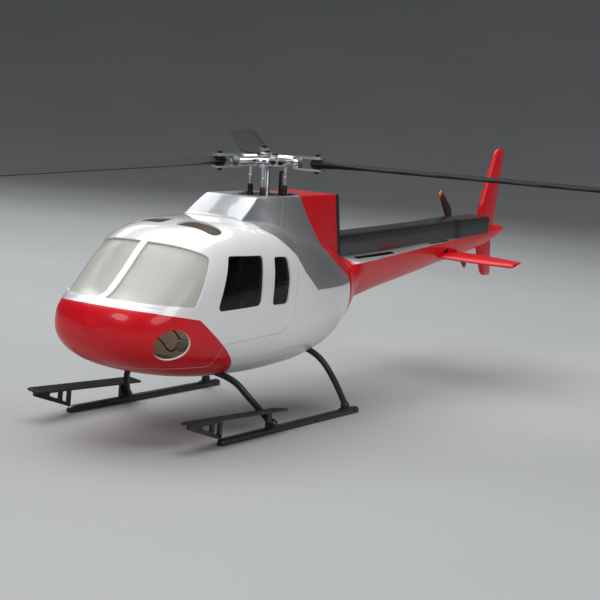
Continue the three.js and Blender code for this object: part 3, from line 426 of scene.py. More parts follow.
# ------------------------------------------------------------ mesh building
class Form:
    """Faces in millimetres, each with an index into the piece's list of materials."""

    def __init__(self, place=None):
        self.points = []
        self.faces = []
        self.kinds = []
        self.place = place or Matrix.Identity(4)

    def add(self, points, faces, kind=0, turn=None):
        """Points and faces of one material, turned and put in the form's own place."""
        start = len(self.points)
        move = self.place @ turn if turn is not None else self.place
        self.points += [move @ Vector(p) for p in points]
        self.faces += [[start + i for i in face] for face in faces]
        self.kinds += [kind] * len(faces)
        return self

    def loft(self, rings, kind=0, caps=(True, True), turn=None):
        """Skin through rings of equal point count; each ring runs once round the form."""
        n = len(rings[0])
        points = [p for ring in rings for p in ring]
        faces = []
        for i in range(len(rings) - 1):
            for j in range(n):
                k = (j + 1) % n
                faces.append((i * n + j, i * n + k, (i + 1) * n + k, (i + 1) * n + j))
        if caps[0]:
            faces.append(tuple(reversed(range(n))))
        if caps[1]:
            faces.append(tuple(range((len(rings) - 1) * n, len(rings) * n)))
        return self.add(points, faces, kind, turn)

    def lathe(self, a, b, profile, kind=0, sides=28, turn=None):
        """Turned form on the axis from a to b: profile holds (share of the way, radius)."""
        a, b = Vector(a), Vector(b)
        along = (b - a).normalized()
        side = along.orthogonal().normalized()
        other = along.cross(side)
        rings = [ring_round(a.lerp(b, share), radius, side, other, sides) for share, radius in profile]
        return self.loft(rings, kind, turn=turn)

    def rod(self, a, b, r, r2=None, kind=0, sides=24, turn=None):
        return self.lathe(a, b, [(0, r), (1, r if r2 is None else r2)], kind, sides, turn)

    def tube(self, path, radius, kind=0, sides=14):
        """Round bar along a list of points."""
        path = [Vector(p) for p in path]
        rings = []
        side = None
        for i, p in enumerate(path):
            along = (path[min(i + 1, len(path) - 1)] - path[max(i - 1, 0)]).normalized()
            if side is None:
                side = along.orthogonal().normalized()
            side = (side - along * side.dot(along)).normalized()
            other = along.cross(side)
            rings.append(ring_round(p, radius, side, other, sides))
        return self.loft(rings, kind)

    def box(self, x0, x1, y0, y1, z0, z1, kind=0, turn=None):
        ring = [(x0, y0), (x1, y0), (x1, y1), (x0, y1)]
        return self.loft([[(x, y, z) for x, y in ring] for z in (z0, z1)], kind, turn=turn)

    def sphere(self, centre, radius, kind=0, turn=None):
        profile = [((1 - cos(t)) / 2, radius * max(sin(t), 0.02))
                   for t in (pi * i / 12 for i in range(13))]
        c = Vector(centre)
        return self.lathe(c - Vector((0, 0, radius)), c + Vector((0, 0, radius)), profile, kind, 20, turn)

    def plate(self, outline, low, high, plane="xy", holes=(), kind=0, turn=None):
        """Flat plate: an outline with holes, thick from low to high along the third axis."""
        loops = [list(outline)] + [list(h) for h in holes]
        flat = [Vector(p) for loop in loops for p in loop]
        edges, start = [], 0
        for loop in loops:
            n = len(loop)
            edges += [(start + i, start + (i + 1) % n) for i in range(n)]
            start += n
        points, _, triangles, *_ = delaunay_2d_cdt(flat, edges, [], 0, 1e-5)
        kept = []
        for t in triangles:
            c = sum((points[i] for i in t), Vector((0, 0))) / 3
            if inside(c, loops[0]) and not any(inside(c, h) for h in loops[1:]):
                kept.append(tuple(t))
        lift = {"xy": lambda p, h: (p[0], p[1], h), "xz": lambda p, h: (p[0], -h, p[1]),
                "yz": lambda p, h: (h, p[0], p[1])}[plane]
        low, high = (-high, -low) if plane == "xz" else (low, high)
        solid = [lift(p, low) for p in points] + [lift(p, high) for p in points]
        n = len(points)
        faces = [tuple(reversed(t)) for t in kept] + [tuple(i + n for i in t) for t in kept]
        for a, b in open_edges(kept):
            faces.append((a, b, b + n, a + n))
        return self.add(solid, faces, kind, turn)

    def screw(self, at, out, r, kind=0, turn=None):
        """Socket cap screw: a head of radius r with a round recess, standing out of a face."""
        at, out = Vector(at), Vector(out).normalized()
        tall = r * 1.05
        self.lathe(at - out * 0.4, at + out * tall,
                   [(0, r), (0.86, r), (1, r * 0.84), (1, r * 0.5), (0.55, r * 0.46), (0.5, r * 0.05)],
                   kind, 18, turn)
        return self


def ring_round(centre, radius, side, other, sides):
    """Circle of points in the plane of two unit vectors."""
    return [centre + radius * (cos(t) * side + sin(t) * other) for t in turns(sides)]


def inside(p, loop):
    """Whether a flat point lies within a closed outline."""
    x, y = p[0], p[1]
    hit = False
    for (x0, y0), (x1, y1) in zip(loop, loop[1:] + loop[:1]):
        if (y0 > y) != (y1 > y) and x < (x1 - x0) * (y - y0) / (y1 - y0) + x0:
            hit = not hit
    return hit


def open_edges(faces):
    """Directed edges that belong to one face only."""
    seen = {}
    for face in faces:
        for a, b in zip(face, face[1:] + face[:1]):
            seen[(a, b)] = True
    return [(a, b) for a, b in seen if (b, a) not in seen]


def rounded(corners, radii, step=0.28):
    """Polygon with each corner turned into an arc of the given radius."""
    points = []
    n = len(corners)
    for i in range(n):
        here = Vector(corners[i][:2])
        back = (Vector(corners[i - 1][:2]) - here)
        on = (Vector(corners[(i + 1) % n][:2]) - here)
        radius = radii[i] if isinstance(radii, (list, tuple)) else radii
        half = back.angle(on) / 2
        if radius <= 0 or half > radians(88):
            points.append(tuple(here))
            continue
        run = min(radius / tan(half), 0.48 * back.length, 0.48 * on.length)
        radius = run * tan(half)
        centre = here + (back.normalized() + on.normalized()).normalized() * (radius / sin(half))
        first = here + back.normalized() * run - centre
        last = here + on.normalized() * run - centre
        swing = first.angle_signed(last)
        count = max(2, int(abs(swing) / step) + 1)
        for k in range(count + 1):
            a = -swing * k / count
            points.append((centre.x + first.x * cos(a) - first.y * sin(a),
                           centre.y + first.x * sin(a) + first.y * cos(a)))
    return points


def rectangle(x0, x1, y0, y1, radii, step=0.28):
    return rounded([(x0, y0), (x1, y0), (x1, y1), (x0, y1)], radii, step)


def circle(x, y, r, count=24):
    return [(x + r * cos(t), y + r * sin(t)) for t in turns(count)]


def curve_through(points, per_span=8):
    """Catmull-Rom points through the given ones."""
    p = [Vector(q) for q in points]
    p = [2 * p[0] - p[1]] + p + [2 * p[-1] - p[-2]]
    out = []
    for i in range(1, len(p) - 2):
        for k in range(per_span):
            t = k / per_span
            out.append(0.5 * (2 * p[i] + (p[i + 1] - p[i - 1]) * t
                              + (2 * p[i - 1] - 5 * p[i] + 4 * p[i + 1] - p[i + 2]) * t * t
                              + (3 * p[i] - p[i - 1] - 3 * p[i + 1] + p[i + 2]) * t ** 3))
    return out + [p[-2]]


def face_outward(mesh):
    """Turns every face of a mesh to the outside."""
    work = bmesh.new()
    work.from_mesh(mesh)
    bmesh.ops.recalc_face_normals(work, faces=work.faces)
    work.to_mesh(mesh)
    work.free()


def piece(name, form, materials, body, stands_for=(), bevel=0.0, sharp=34.0, normals=None):
    """One scene object that rides a body and stands for CAD nodes."""
    mesh = bpy.data.meshes.new(name)
    mesh.from_pydata([to_metres(p) for p in form.points], [], form.faces)
    for material in materials:
        mesh.materials.append(material)
    mesh.polygons.foreach_set("material_index", form.kinds)
    mesh.polygons.foreach_set("use_smooth", [True] * len(mesh.polygons))
    obj = bpy.data.objects.new(name, mesh)
    bpy.context.scene.collection.objects.link(obj)
    if normals is None:
        face_outward(mesh)
        mesh.set_sharp_from_angle(angle=radians(sharp))
    else:
        mesh.normals_split_custom_set(normals)
    if bevel:
        edge = obj.modifiers.new("edges", "BEVEL")
        edge.width = bevel / 1000
        edge.segments = 2
        edge.limit_method = "ANGLE"
        edge.angle_limit = radians(40)
        edge.harden_normals = True
    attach(obj, body)
    if stands_for:
        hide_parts(*stands_for)
    return obj


# ------------------------------------------------------------ body surface
# stations: x, top, bottom, half width, height of the widest point, squareness above and below
BODY = [
    (306, 121, 107, 9, 114, 2.0, 2.0), (302, 131, 97, 31, 113, 2.4, 2.1),
    (294, 139, 86, 48, 112, 2.7, 2.2), (279, 144, 76, 61, 111, 3.0, 2.3),
    (255, 164, 68, 71, 110, 3.1, 2.4), (222, 196, 61, 77, 110, 3.3, 2.5),
    (195, 210, 57, 80, 111, 3.5, 2.6), (150, 217, 53, 84, 113, 3.7, 2.6),
    (90, 219, 51, 86, 115, 3.7, 2.6), (20, 214, 53, 85, 118, 3.2, 2.5),
    (-40, 202, 60, 80, 124, 2.8, 2.4), (-90, 188, 72, 67, 132, 2.5, 2.3),
    (-130, 174, 88, 52, 138, 2.3, 2.2), (-155, 166, 102, 41, 142, 2.2, 2.2),
]
COWL_SLOPE = [(130, 0.1), (105, 0.18), (76, 0.41), (55, 0.74), (30, 0.76), (12, 0.7),
              (-23, 0.54), (-47, 0.4), (-100, 0.13), (-130, 0.12)]
# tail boom stations: x, half width, deck edge, deck centre, bottom
BOOM = [
    (-168, 41.5, 163.5, 172.5, 111), (-250, 34.5, 168, 175.5, 123.5), (-340, 29, 174, 180.5, 135),
    (-430, 23.5, 180, 185.5, 147.5), (-500, 19.5, 184.5, 189, 155.5), (-560, 16, 188, 191.5, 164),
    (-582, 14.6, 189.4, 192.4, 167.5), (-590, 14, 190, 197.4, 169), (-618, 12.2, 191, 197.6, 174.5),
    (-640, 10.2, 191.5, 198.6, 180.5), (-662, 7, 192.5, 197.6, 187), (-673, 3.2, 193, 195.4, 190.6),
]


def bell(reach, width):
    """Weights that fall off like a bell on both sides and add up to one."""
    weight = np.exp(-0.5 * (np.arange(-reach, reach + 1) / width) ** 2)
    return weight / weight.sum()


def turning_point(low, high, is_low, rounds):
    """Halves the span from low to high down to the place where is_low stops being true."""
    for _ in range(rounds):
        middle = (low + high) / 2
        if is_low(middle):
            low = middle
        else:
            high = middle
    return (low + high) / 2


class Table:
    """Smooth curve through each column of a station table, as a function of x."""

    def __init__(self, rows, soften=0.0):
        rows = np.array(sorted(rows), float)
        self.x = np.arange(rows[0, 0], rows[-1, 0] + 0.5, 1.0)
        self.columns = [self.through(rows[:, 0], rows[:, k]) for k in range(1, rows.shape[1])]
        if soften:
            reach = int(3 * soften)
            weight = bell(reach, soften)
            for k, column in enumerate(self.columns):
                wide = np.pad(column, reach, mode="reflect", reflect_type="odd")
                self.columns[k] = np.convolve(wide, weight, mode="valid")

    def through(self, x, y):
        slope = np.diff(y) / np.diff(x)
        lean = np.zeros(len(y))
        lean[0], lean[-1] = slope[0], slope[-1]
        same = slope[:-1] * slope[1:] > 0
        lean[1:-1][same] = (2 * slope[:-1] * slope[1:])[same] / (slope[:-1] + slope[1:])[same]
        i = np.clip(np.searchsorted(x, self.x, side="right") - 1, 0, len(x) - 2)
        h = x[i + 1] - x[i]
        t = (self.x - x[i]) / h
        return ((2 * t ** 3 - 3 * t ** 2 + 1) * y[i] + (t ** 3 - 2 * t ** 2 + t) * h * lean[i]
                + (3 * t ** 2 - 2 * t ** 3) * y[i + 1] + (t ** 3 - t ** 2) * h * lean[i + 1])

    def at(self, x):
        return [np.interp(x, self.x, column) for column in self.columns]


class Pod:
    """Outer skin of cabin and cowl, by length u from the nose tip and polar angle a (radians).

    a runs from straight down (-90 degrees) to straight up (90 degrees) on the left side.
    """

    def __init__(self):
        raw = Table(BODY)
        first = NOSE_TIP - NOSE_ROUND
        x = np.concatenate([NOSE_TIP - NOSE_ROUND * np.linspace(0, 1, 12) ** 2,
                            np.arange(first - 0.5, BODY_END - 6, -0.5)])
        columns = [np.array(c) for c in raw.at(np.minimum(x, first))]
        tip = np.where(x > first, np.sqrt(np.clip((NOSE_TIP - x) / NOSE_ROUND, 0, 1)), 1.0)
        for k, centre in ((0, NOSE_Z), (1, NOSE_Z), (2, 0.0), (3, NOSE_Z)):
            columns[k] = centre + (columns[k] - centre) * tip
        run = np.concatenate([[0], np.cumsum(np.hypot(np.diff(x), np.diff(columns[2])))])
        self.u = np.arange(0, run[-1], 1.0)
        self.x = self.soft(np.interp(self.u, run, x), "even")
        kinds = ("tip", "tip", "odd", "tip", "even", "even")
        self.columns = [self.soft(np.interp(self.u, run, c), kind) for c, kind in zip(columns, kinds)]
        self.length = float(np.interp(-BODY_END, -self.x, self.u))
        self.slope = Table(COWL_SLOPE, 4)
        self.cowl_end = float(np.interp(-COWL_REAR, -self.x, self.u))

    def soft(self, column, kind):
        """Average over about 5 mm; the nose end mirrors so that the tip closes smoothly."""
        reach = 15
        start = column[1:reach + 1][::-1]
        if kind == "odd":
            start = -start
        elif kind == "tip":
            start = 2 * column[0] - start
        end = 2 * column[-1] - column[-reach - 1:-1][::-1]
        return np.convolve(np.concatenate([start, column, end]), bell(reach, 5.0), mode="valid")

    def u_of(self, x):
        return float(np.interp(-x, -self.x, self.u))

    def radius(self, u, a, cowl):
        """Distance from the middle line to the skin, with the x and height of that line."""
        x = np.interp(u, self.u, self.x)
        top, bottom, half, mid, n_top, n_bottom = [np.interp(u, self.u, c) for c in self.columns]
        s, c = sin(a), max(cos(a), 0.0)
        high, n = (top - mid, n_top) if s >= 0 else (mid - bottom, n_bottom)
        half, high = max(half, 1e-3), max(high, 1e-3)
        r = ((c / half) ** n + (abs(s) / high) ** n) ** (-1 / n)
        if cowl and s > 0.3 and COWL_REAR - 1 < x < COWL_NOSE:
            lid, side = self.cowl_faces(x, mid, s, c)
            cowl_r = soft_min(lid, side, CORNER_SOFT)
            foot, start, fall = COWL_FOOT
            if mid + cowl_r * s > foot + min(0, x - start) * fall:
                r = -soft_min(-r, -cowl_r, FOOT_SOFT)
        return r, x, mid

    def cowl_faces(self, x, mid, s, c):
        """Radius at which a ray from the middle meets the cowl's lid or front, and its side."""
        sill = COWL_TOP[0] + (COWL_FRONT - x) * (COWL_TOP[1] - COWL_TOP[0]) / (COWL_FRONT - COWL_REAR)
        lid = soft_min(sill, COWL_TOP[0] - (x - COWL_FRONT) / COWL_FALL, CORNER_SOFT)
        k = float(self.slope.at(x)[0])
        return (lid - mid) / s, (COWL_HALF + k * (sill - mid)) / (c + k * s)

    def cowl_edge(self, u, foot):
        """Angle of the cowl's upper corner, or of its foot on the body, at a length u."""
        def over(a):
            r, x, mid = self.radius(u, a, False)
            lid, side = self.cowl_faces(x, mid, sin(a), cos(a))
            return min(lid, side) - r if foot else side - lid
        high = pi / 2 - 0.001
        if over(high) < 0:
            return None
        low = high
        while over(low) > 0:
            high, low = low, low - 0.02
            if low < 0.4:
                return None
        return turning_point(low, high, lambda a: over(a) <= 0, 20)

    def point(self, u, a, cowl=True, inset=0.0):
        r, x, mid = self.radius(u, a, cowl)
        p = Vector((x, r * cos(a), mid + r * sin(a)))
        p.z -= groove_depth(p)
        if inset:
            p -= self.normal(u, a, cowl) * inset
        return p

    def normal(self, u, a, cowl=True):
        """Unit vector that points out of the skin."""
        du, da = 0.6, 0.006
        uc = max(u, 1.5)
        low = min(max(a - da, -pi / 2), pi / 2 - 2 * da)
        ahead = self.point(uc + du, low + da, cowl) - self.point(uc - du, low + da, cowl)
        round_ = self.point(uc, low + 2 * da, cowl) - self.point(uc, low, cowl)
        if abs(a) > pi / 2 - 1e-4:
            ahead.y = 0
            out = ahead.cross(Vector((0, -copysign(1, a), 0)))
        else:
            out = ahead.cross(round_)
        out = out.normalized()
        mid = self.point(uc, a, cowl) if u > 1.5 else Vector((NOSE_TIP, 0, NOSE_Z))
        away = Vector((mid.x - min(mid.x, 250), mid.y, mid.z - 125))
        return out if out.dot(away) > 0 else -out

    def angle_at(self, u, wanted, height=True, low=-pi / 2, high=pi / 2):
        """Angle where the skin is at the wanted height, or at the wanted distance from the middle."""
        def value(a):
            r, _, mid = self.radius(u, a, True)
            return mid + r * sin(a) if height else r * cos(a)
        rising = value(high) > value(low)
        return turning_point(low, high, lambda a: (value(a) < wanted) == rising, 26)


def soft_min(a, b, reach):
    """The lesser of two values, rounded off where they come within reach."""
    h = max(reach - abs(a - b), 0) / reach
    return min(a, b) - h * h * reach / 4


# crease in the nose moulding, between the windshield and the red paint: x and height
NOSE_CREASE = [(226, 131.2), (248, 133.4), (270, 136.0), (283, 138.0), (290.5, 138.9), (297, 139.4)]


CREASE_DEPTH = 0.55
CREASE_WIDTH = 0.9
CREASE_BOX = (222, 300, 125)      # rear, front and lowest height at which it is looked for
CREASE_FADE = (223, 8)            # where it starts, and the length over which it deepens


def groove_depth(p):
    """Depth of the moulded crease at a point of the skin."""
    if p.x < CREASE_BOX[0] or p.x > CREASE_BOX[1] or p.z < CREASE_BOX[2]:
        return 0.0
    z = np.interp(p.x, [q[0] for q in NOSE_CREASE], [q[1] for q in NOSE_CREASE])
    fade = min(1.0, max(0.0, (p.x - CREASE_FADE[0]) / CREASE_FADE[1]))
    return CREASE_DEPTH * fade * exp(-((p.z - z) / CREASE_WIDTH) ** 2)


POD = Pod()
ARC = 85.0                        # millimetres of the flat map per radian of skin angle

# outlines in the side view (x, height) or from above (x, y)
WINDSHIELD = rounded([(230.2, 137.8), (300, 142.4), (316, 143.4), (316, 216), (262, 215), (203.2, 186)],
                     [4, 0, 0, 0, 30, 4.5])
DOOR = rounded([(178.8, 187.1), (122.8, 186.6), (127.2, 134.8), (199.6, 131.7)], [5, 4.5, 6, 5])
REAR_WINDOW = rounded([(103.2, 184.6), (76.3, 184.1), (72.2, 160), (76.4, 134), (107.3, 134)],
                      [4, 7, 40, 6, 4.5])
ROOF_WINDOW = rounded([(186.3, 8), (183.8, 56), (163.8, 56.5), (157.2, 8.8)], [6, 9, 9, 6])
SEAM = [(18, 275), (19.5, 241.5), (56, 212), (47, 199), (52, 185), (60, 150), (61, 117),
        (84, 104), (186, 98), (192, 75), (345, 75)]
SEAM_REAR = [(x - GAP, z - GAP * (z < 110)) for x, z in SEAM]
NOSE_RED = [(330, 141), (297, 135.5), (278, 133), (238, 127.2), (224, 125), (205, 111.4), (183.2, 95.7),
            (160, 78.2), (148, 66.5), (140.5, 55), (136, 40)]
SILVER_EDGE = [(107.5, 300), (107.5, 217.6), (99.5, 216.6), (99, 211), (84, 204), (71, 195), (56, 184.5),
               (40, 166), (12, 145.3), (-95, 145.8)]
REAR_RED = [(-17, 300), (-17, 242), (-16, 219), (-21, 199), (-28, 187), (-40, 176), (-60, 165),
            (-86, 154), (-92, 147), (-95, 140), (-97, 125), (-98, 95), (-98, 60)]
CREASE_LINES = [[(x, z + shift) for x, z in NOSE_CREASE] for shift in (-1.6, -0.8, 0, 0.8, 1.6)]
HATCH_HOLE = (-12.4, 42.4, 24.4)  # rear, front and half width
HATCH = [(HATCH_HOLE[1], HATCH_HOLE[2]), (HATCH_HOLE[1], 0), (HATCH_HOLE[0], 0),
         (HATCH_HOLE[0], HATCH_HOLE[2])]
LIGHT = (257.0, 70.0, 101.5)      # middle of the landing-light hole
LIGHT_HALF = (21.84, 15.6)
LIGHT_TURN = atan2(0.29, 0.95)


def closed(outline):
    return list(outline) + [outline[0]]


def dense(line):
    """Line with a point at least every MAP_STEP millimetres."""
    points = [line[0]]
    for a, b in zip(line, line[1:]):
        count = max(1, int(dist(a, b) / MAP_STEP))
        points += [(a[0] + (b[0] - a[0]) * k / count, a[1] + (b[1] - a[1]) * k / count)
                   for k in range(1, count + 1)]
    return points


def mapped(line, place):
    """Line on the flat map of the skin, with more points where the map stretches it."""
    flat = dense(line)
    out = [place(flat[0])]

    def add(a, b, fa, fb, depth):
        if depth and dist(fa, fb) > MAP_STRETCH:
            middle = ((a[0] + b[0]) / 2, (a[1] + b[1]) / 2)
            fm = place(middle)
            add(a, middle, fa, fm, depth - 1)
            add(middle, b, fm, fb, depth - 1)
        elif dist(out[-1], fb) > 1e-3:
            out.append(fb)

    for a, b in zip(flat, flat[1:]):
        add(a, b, out[-1], place(b), 7)
    return out


def side_map(line):
    """Line given as x and height, on the flat map of the skin."""
    def place(p):
        u = POD.u_of(min(p[0], NOSE_TIP))
        return u, ARC * POD.angle_at(u, p[1])
    return mapped(line, place)


def top_map(line, lower=False):
    """Line given as x and distance from the middle, above or below, on the flat map."""
    span = (-pi / 2, -0.3) if lower else (0.35, pi / 2)

    def place(p):
        u = POD.u_of(p[0])
        return u, ARC * POD.angle_at(u, p[1], False, *span)
    return mapped(line, place)


def light_hole():
    """Landing-light hole on the flat map: an ellipse that faces forward and outward."""
    out = []
    for i in range(41):
        t = 2 * pi * i / 40
        z = LIGHT[2] + LIGHT_HALF[1] * sin(t)
        across = LIGHT_HALF[0] * cos(t)
        x = LIGHT[0]
        for _ in range(12):
            u = POD.u_of(x)
            a = POD.angle_at(u, z)
            y = POD.point(u, a).y
            x = LIGHT[0] + (across + (y - LIGHT[1]) * sin(LIGHT_TURN)) / cos(LIGHT_TURN)
        out.append((u, ARC * a))
    return out


def in_light_hole(p):
    """Whether a point of the skin lies in the landing-light hole."""
    across = (p.x - LIGHT[0]) * cos(LIGHT_TURN) - (p.y - LIGHT[1]) * sin(LIGHT_TURN)
    return (across / LIGHT_HALF[0]) ** 2 + ((p.z - LIGHT[2]) / LIGHT_HALF[1]) ** 2 < 1 and p.x > 220


def swell(outline, by):
    """Outline pushed outward from its middle."""
    cx = sum(p[0] for p in outline) / len(outline)
    cy = sum(p[1] for p in outline) / len(outline)
    out = []
    for x, y in outline:
        d = hypot(x - cx, y - cy)
        out.append((x + (x - cx) / d * by, y + (y - cy) / d * by))
    return out


WINDSHIELD_GLASS = swell(WINDSHIELD, 3)
SIDE_GLASS = [(202, 128), (180, 191), (73, 188), (67, 160), (72, 129.5)]
ROOF_GLASS = (154.0, 190.0, 60.0)


def grid_points(lines):
    """Points all over the flat map that keep off the given lines."""
    taken = {}
    cell = 3.0
    for line in lines:
        for a, b in zip(line, line[1:]):
            count = max(1, int(dist(a, b) / 1.5))
            for k in range(count + 1):
                p = (a[0] + (b[0] - a[0]) * k / count, a[1] + (b[1] - a[1]) * k / count)
                taken.setdefault((int(p[0] // cell), int(p[1] // cell)), []).append(p)
    out = []
    height = ARC * pi / 2
    columns = int(POD.length / GRID_STEP)
    for i in range(1, columns):
        u = POD.length * i / columns
        half = float(np.interp(u, POD.u, POD.columns[2]))
        rows = max(10, int(2 * height / GRID_STEP * min(1, half / 60 + 0.12)))
        for j in range(1, rows):
            p = (u, -height + 2 * height * (j + 0.5 * (i % 2)) / rows)
            if p[1] > height - 1.2:
                continue
            near = [q for di in (-1, 0, 1) for dj in (-1, 0, 1)
                    for q in taken.get((int(p[0] // cell) + di, int(p[1] // cell) + dj), ())]
            if all(dist(p, q) > GRID_CLEAR for q in near):
                out.append(p)
    return out


def cowl_lines():
    """Lines of the flat map along the cowl's corner, its foot and its front top edge."""
    lines = []
    for foot in (False, True):
        for beside in (-1.3, 0, 1.3):
            line = []
            for k in range(79):
                u = POD.u_of(124 - 222 * k / 78)
                a = POD.cowl_edge(u, foot)
                if a is not None:
                    a += beside / POD.radius(u, a, True)[0]
                    if a < pi / 2:
                        line.append((u, a * ARC))
            lines.append(line)
    for beside in (-1.3, 0, 1.3):
        u = POD.u_of(COWL_FRONT + beside)
        lines.append([(u, ARC * (0.95 + (pi / 2 - 0.95) * k / 24)) for k in range(25)])
    return lines


def skin_map():
    """Triangles of the flat map, with every outline, paint edge and seam running along edges."""
    height = ARC * pi / 2
    border = [(POD.length * k / 90, -height) for k in range(91)]
    border += [(POD.length, -height + 2 * height * k / 54) for k in range(1, 55)]
    border += [(POD.length * k / 90, height) for k in range(89, -1, -1)]
    border += [(0.0, height - 2 * height * k / 16) for k in range(1, 17)]
    lines = [border, side_map(closed(WINDSHIELD)), side_map(closed(DOOR)), side_map(closed(REAR_WINDOW)),
             side_map(closed(WINDSHIELD_GLASS)), side_map(closed(SIDE_GLASS)), side_map(SEAM),
             side_map(SEAM_REAR), side_map(NOSE_RED), side_map(SILVER_EDGE), side_map(REAR_RED),
             top_map(closed(ROOF_WINDOW)), top_map([(315, PILLAR), (195, PILLAR)]),
             top_map([(ROOF_GLASS[0], 0), (ROOF_GLASS[0], ROOF_GLASS[2]), (ROOF_GLASS[1], ROOF_GLASS[2]),
                      (ROOF_GLASS[1], 0)]),
             top_map(HATCH, True), light_hole(),
             [(POD.cowl_end, -height), (POD.cowl_end, height)]]
    lines += [side_map(line) for line in CREASE_LINES]
    lines += cowl_lines()
    mast = [(MAST_HOLE[0] * cos(t), MAST_HOLE[1] * sin(t))
            for t in (pi * i / 40 for i in range(41))]
    lines.append(top_map(mast))
    points, edges = [], []
    for line in lines:
        start = len(points)
        points += [Vector(p) for p in line]
        edges += [(start + i, start + i + 1) for i in range(len(line) - 1)]
    points += [Vector(p) for p in grid_points(lines)]
    out, _, triangles, *_ = delaunay_2d_cdt(points, edges, [], 0, 1e-3)
    return [(p.x, p.y) for p in out], [tuple(t) for t in triangles]


def skin_zone(p):
    """Which piece a place on the outer skin belongs to: canopy, fuselage or nothing."""
    if inside((p.x, p.z), WINDSHIELD) and p.y > PILLAR:
        return None
    if inside((p.x, p.z), DOOR) or inside((p.x, p.z), REAR_WINDOW) or in_light_hole(p):
        return None
    if p.z > 185 and inside((p.x, p.y), ROOF_WINDOW):
        return None
    if p.z > 200 and (p.x / MAST_HOLE[0]) ** 2 + (p.y / MAST_HOLE[1]) ** 2 < 1:
        return None
    if p.z < 75 and HATCH_HOLE[0] < p.x < HATCH_HOLE[1] and p.y < HATCH_HOLE[2]:
        return None
    if inside((p.x, p.z), SEAM + [(345, 275)]):
        return "canopy"
    if inside((p.x, p.z), SEAM_REAR + [(345, 275)]):
        return None
    return "fuselage"


def skin_paint(p):
    """0 white, 1 red, 2 silver."""
    if inside((p.x, p.z), NOSE_RED + [(330, 40)]):
        return 1
    if inside((p.x, p.z), REAR_RED + [(-400, 60), (-400, 300)]):
        return 1
    if inside((p.x, p.z), SILVER_EDGE + [(-400, 145.8), (-400, 300)]):
        return 2
    return 0


def shell_piece(name, triangles, places, body, stands_for, depth, materials, paint, from_inset=0.0):
    """Moulded sheet: outer and inner skins of the chosen triangles, their mirror image and the rims."""
    form = Form()
    index, points, outward = {}, [], []

    def vertex(key, mirrored):
        """Numbers of the outer and inner vertex for a map point (key = point, cowl side or not)."""
        flat, cowl = key
        u, v = places[flat]
        a = v / ARC
        centre = abs(abs(a) - pi / 2) < 1e-4 or u < 1e-6
        if u < 1e-6:
            flat = -1
        tag = (flat, cowl, mirrored and not centre)
        if tag not in index:
            normal = POD.normal(u, a, cowl) if u > 1e-6 else Vector((1, 0, 0))
            outer = POD.point(u, a, cowl)
            if centre:
                outer.y = 0
            outer = outer - normal * from_inset
            inner = outer - normal * depth
            if mirrored:
                for item in (outer, inner, normal):
                    item.y = -item.y
            index[tag] = len(points)
            points.extend([outer, inner])
            outward.append(normal)
        return index[tag]

    faces, kinds, loops = [], [], []
    for mirrored in (False, True):
        for corners, kind in triangles:
            ids = [vertex(key, mirrored) for key in corners]
            if len(set(ids)) < 3:
                continue
            if mirrored:
                ids.reverse()
            faces.append(tuple(ids))
            kinds.append(kind)
    a, b, c = (points[i] for i in faces[0])
    if (b - a).cross(c - a).dot(outward[faces[0][0] // 2]) < 0:
        faces = [tuple(reversed(f)) for f in faces]
    for face, kind in zip(faces, kinds):
        form.faces.append(face)
        form.kinds.append(kind if paint else 0)
        loops += [outward[i // 2] for i in face]
    for face in faces:
        form.faces.append(tuple(i + 1 for i in reversed(face)))
        form.kinds.append(len(materials) - 2 if paint else 0)
        loops += [-outward[i // 2] for i in reversed(face)]
    for a, b in open_edges(faces):
        flat = (points[a] - points[b]).cross(points[b + 1] - points[b]).normalized()
        form.faces.append((b, a, a + 1, b + 1))
        form.kinds.append(len(materials) - 1 if paint else 0)
        loops += [flat] * 4
    form.points = points
    return piece(name, form, materials, body, stands_for, normals=loops)


def build_skin():
    """Canopy, fuselage and window sheets, sorted out of one triangulated skin."""
    places, triangles = skin_map()
    groups = {key: [] for key in ("canopy", "fuselage", "windshield", "roof", "side")}
    for t in triangles:
        u = sum(places[i][0] for i in t) / 3
        a = sum(places[i][1] for i in t) / 3 / ARC
        cowl = u < POD.cowl_end
        p = POD.point(u, a, cowl)
        corners = [(i, cowl) for i in t]
        zone = skin_zone(p)
        if zone:
            groups[zone].append((corners, skin_paint(p)))
        if inside((p.x, p.z), WINDSHIELD_GLASS):
            groups["windshield"].append((corners, 0))
        elif p.z > 192 and ROOF_GLASS[0] < p.x < ROOF_GLASS[1] and p.y < ROOF_GLASS[2]:
            groups["roof"].append((corners, 0))
        elif p.y > 45 and inside((p.x, p.z), SIDE_GLASS):
            groups["side"].append((corners, 0))
    merge_cowl_line(groups["fuselage"], places)
    paints = [WHITE, RED, SILVER, INSIDE, EDGE]
    shell_piece("canopy_moulding", groups["canopy"], places, "canopy",
                ["canopy_shell"], WALL, paints, True)
    shell_piece("fuselage_moulding", groups["fuselage"], places, "airframe",
                ["fuselage_shell"], WALL, paints, True)
    sheet = WALL + 0.3
    shell_piece("windshield_sheet", groups["windshield"], places, "canopy",
                ["windshield"], GLASS, [CLEAR], False, sheet)
    shell_piece("roof_sheet", groups["roof"], places, "canopy",
                ["roof_glazing"], GLASS, [BROWN_CLEAR], False, sheet)
    shell_piece("side_sheets", groups["side"], places, "canopy",
                ["side_glazing_left", "side_glazing_right"], GLASS, [DARK_CLEAR], False, sheet)


def merge_cowl_line(triangles, places):
    """Along the cowl's rear edge, use one vertex where the skin with and without cowl agree."""
    for k, (corners, kind) in enumerate(triangles):
        merged = []
        for flat, cowl in corners:
            u, v = places[flat]
            if abs(u - POD.cowl_end) < 0.01 and not cowl:
                gap = POD.radius(u, v / ARC, True)[0] - POD.radius(u, v / ARC, False)[0]
                cowl = gap < 0.05
            merged.append((flat, cowl))
        triangles[k] = (merged, kind)


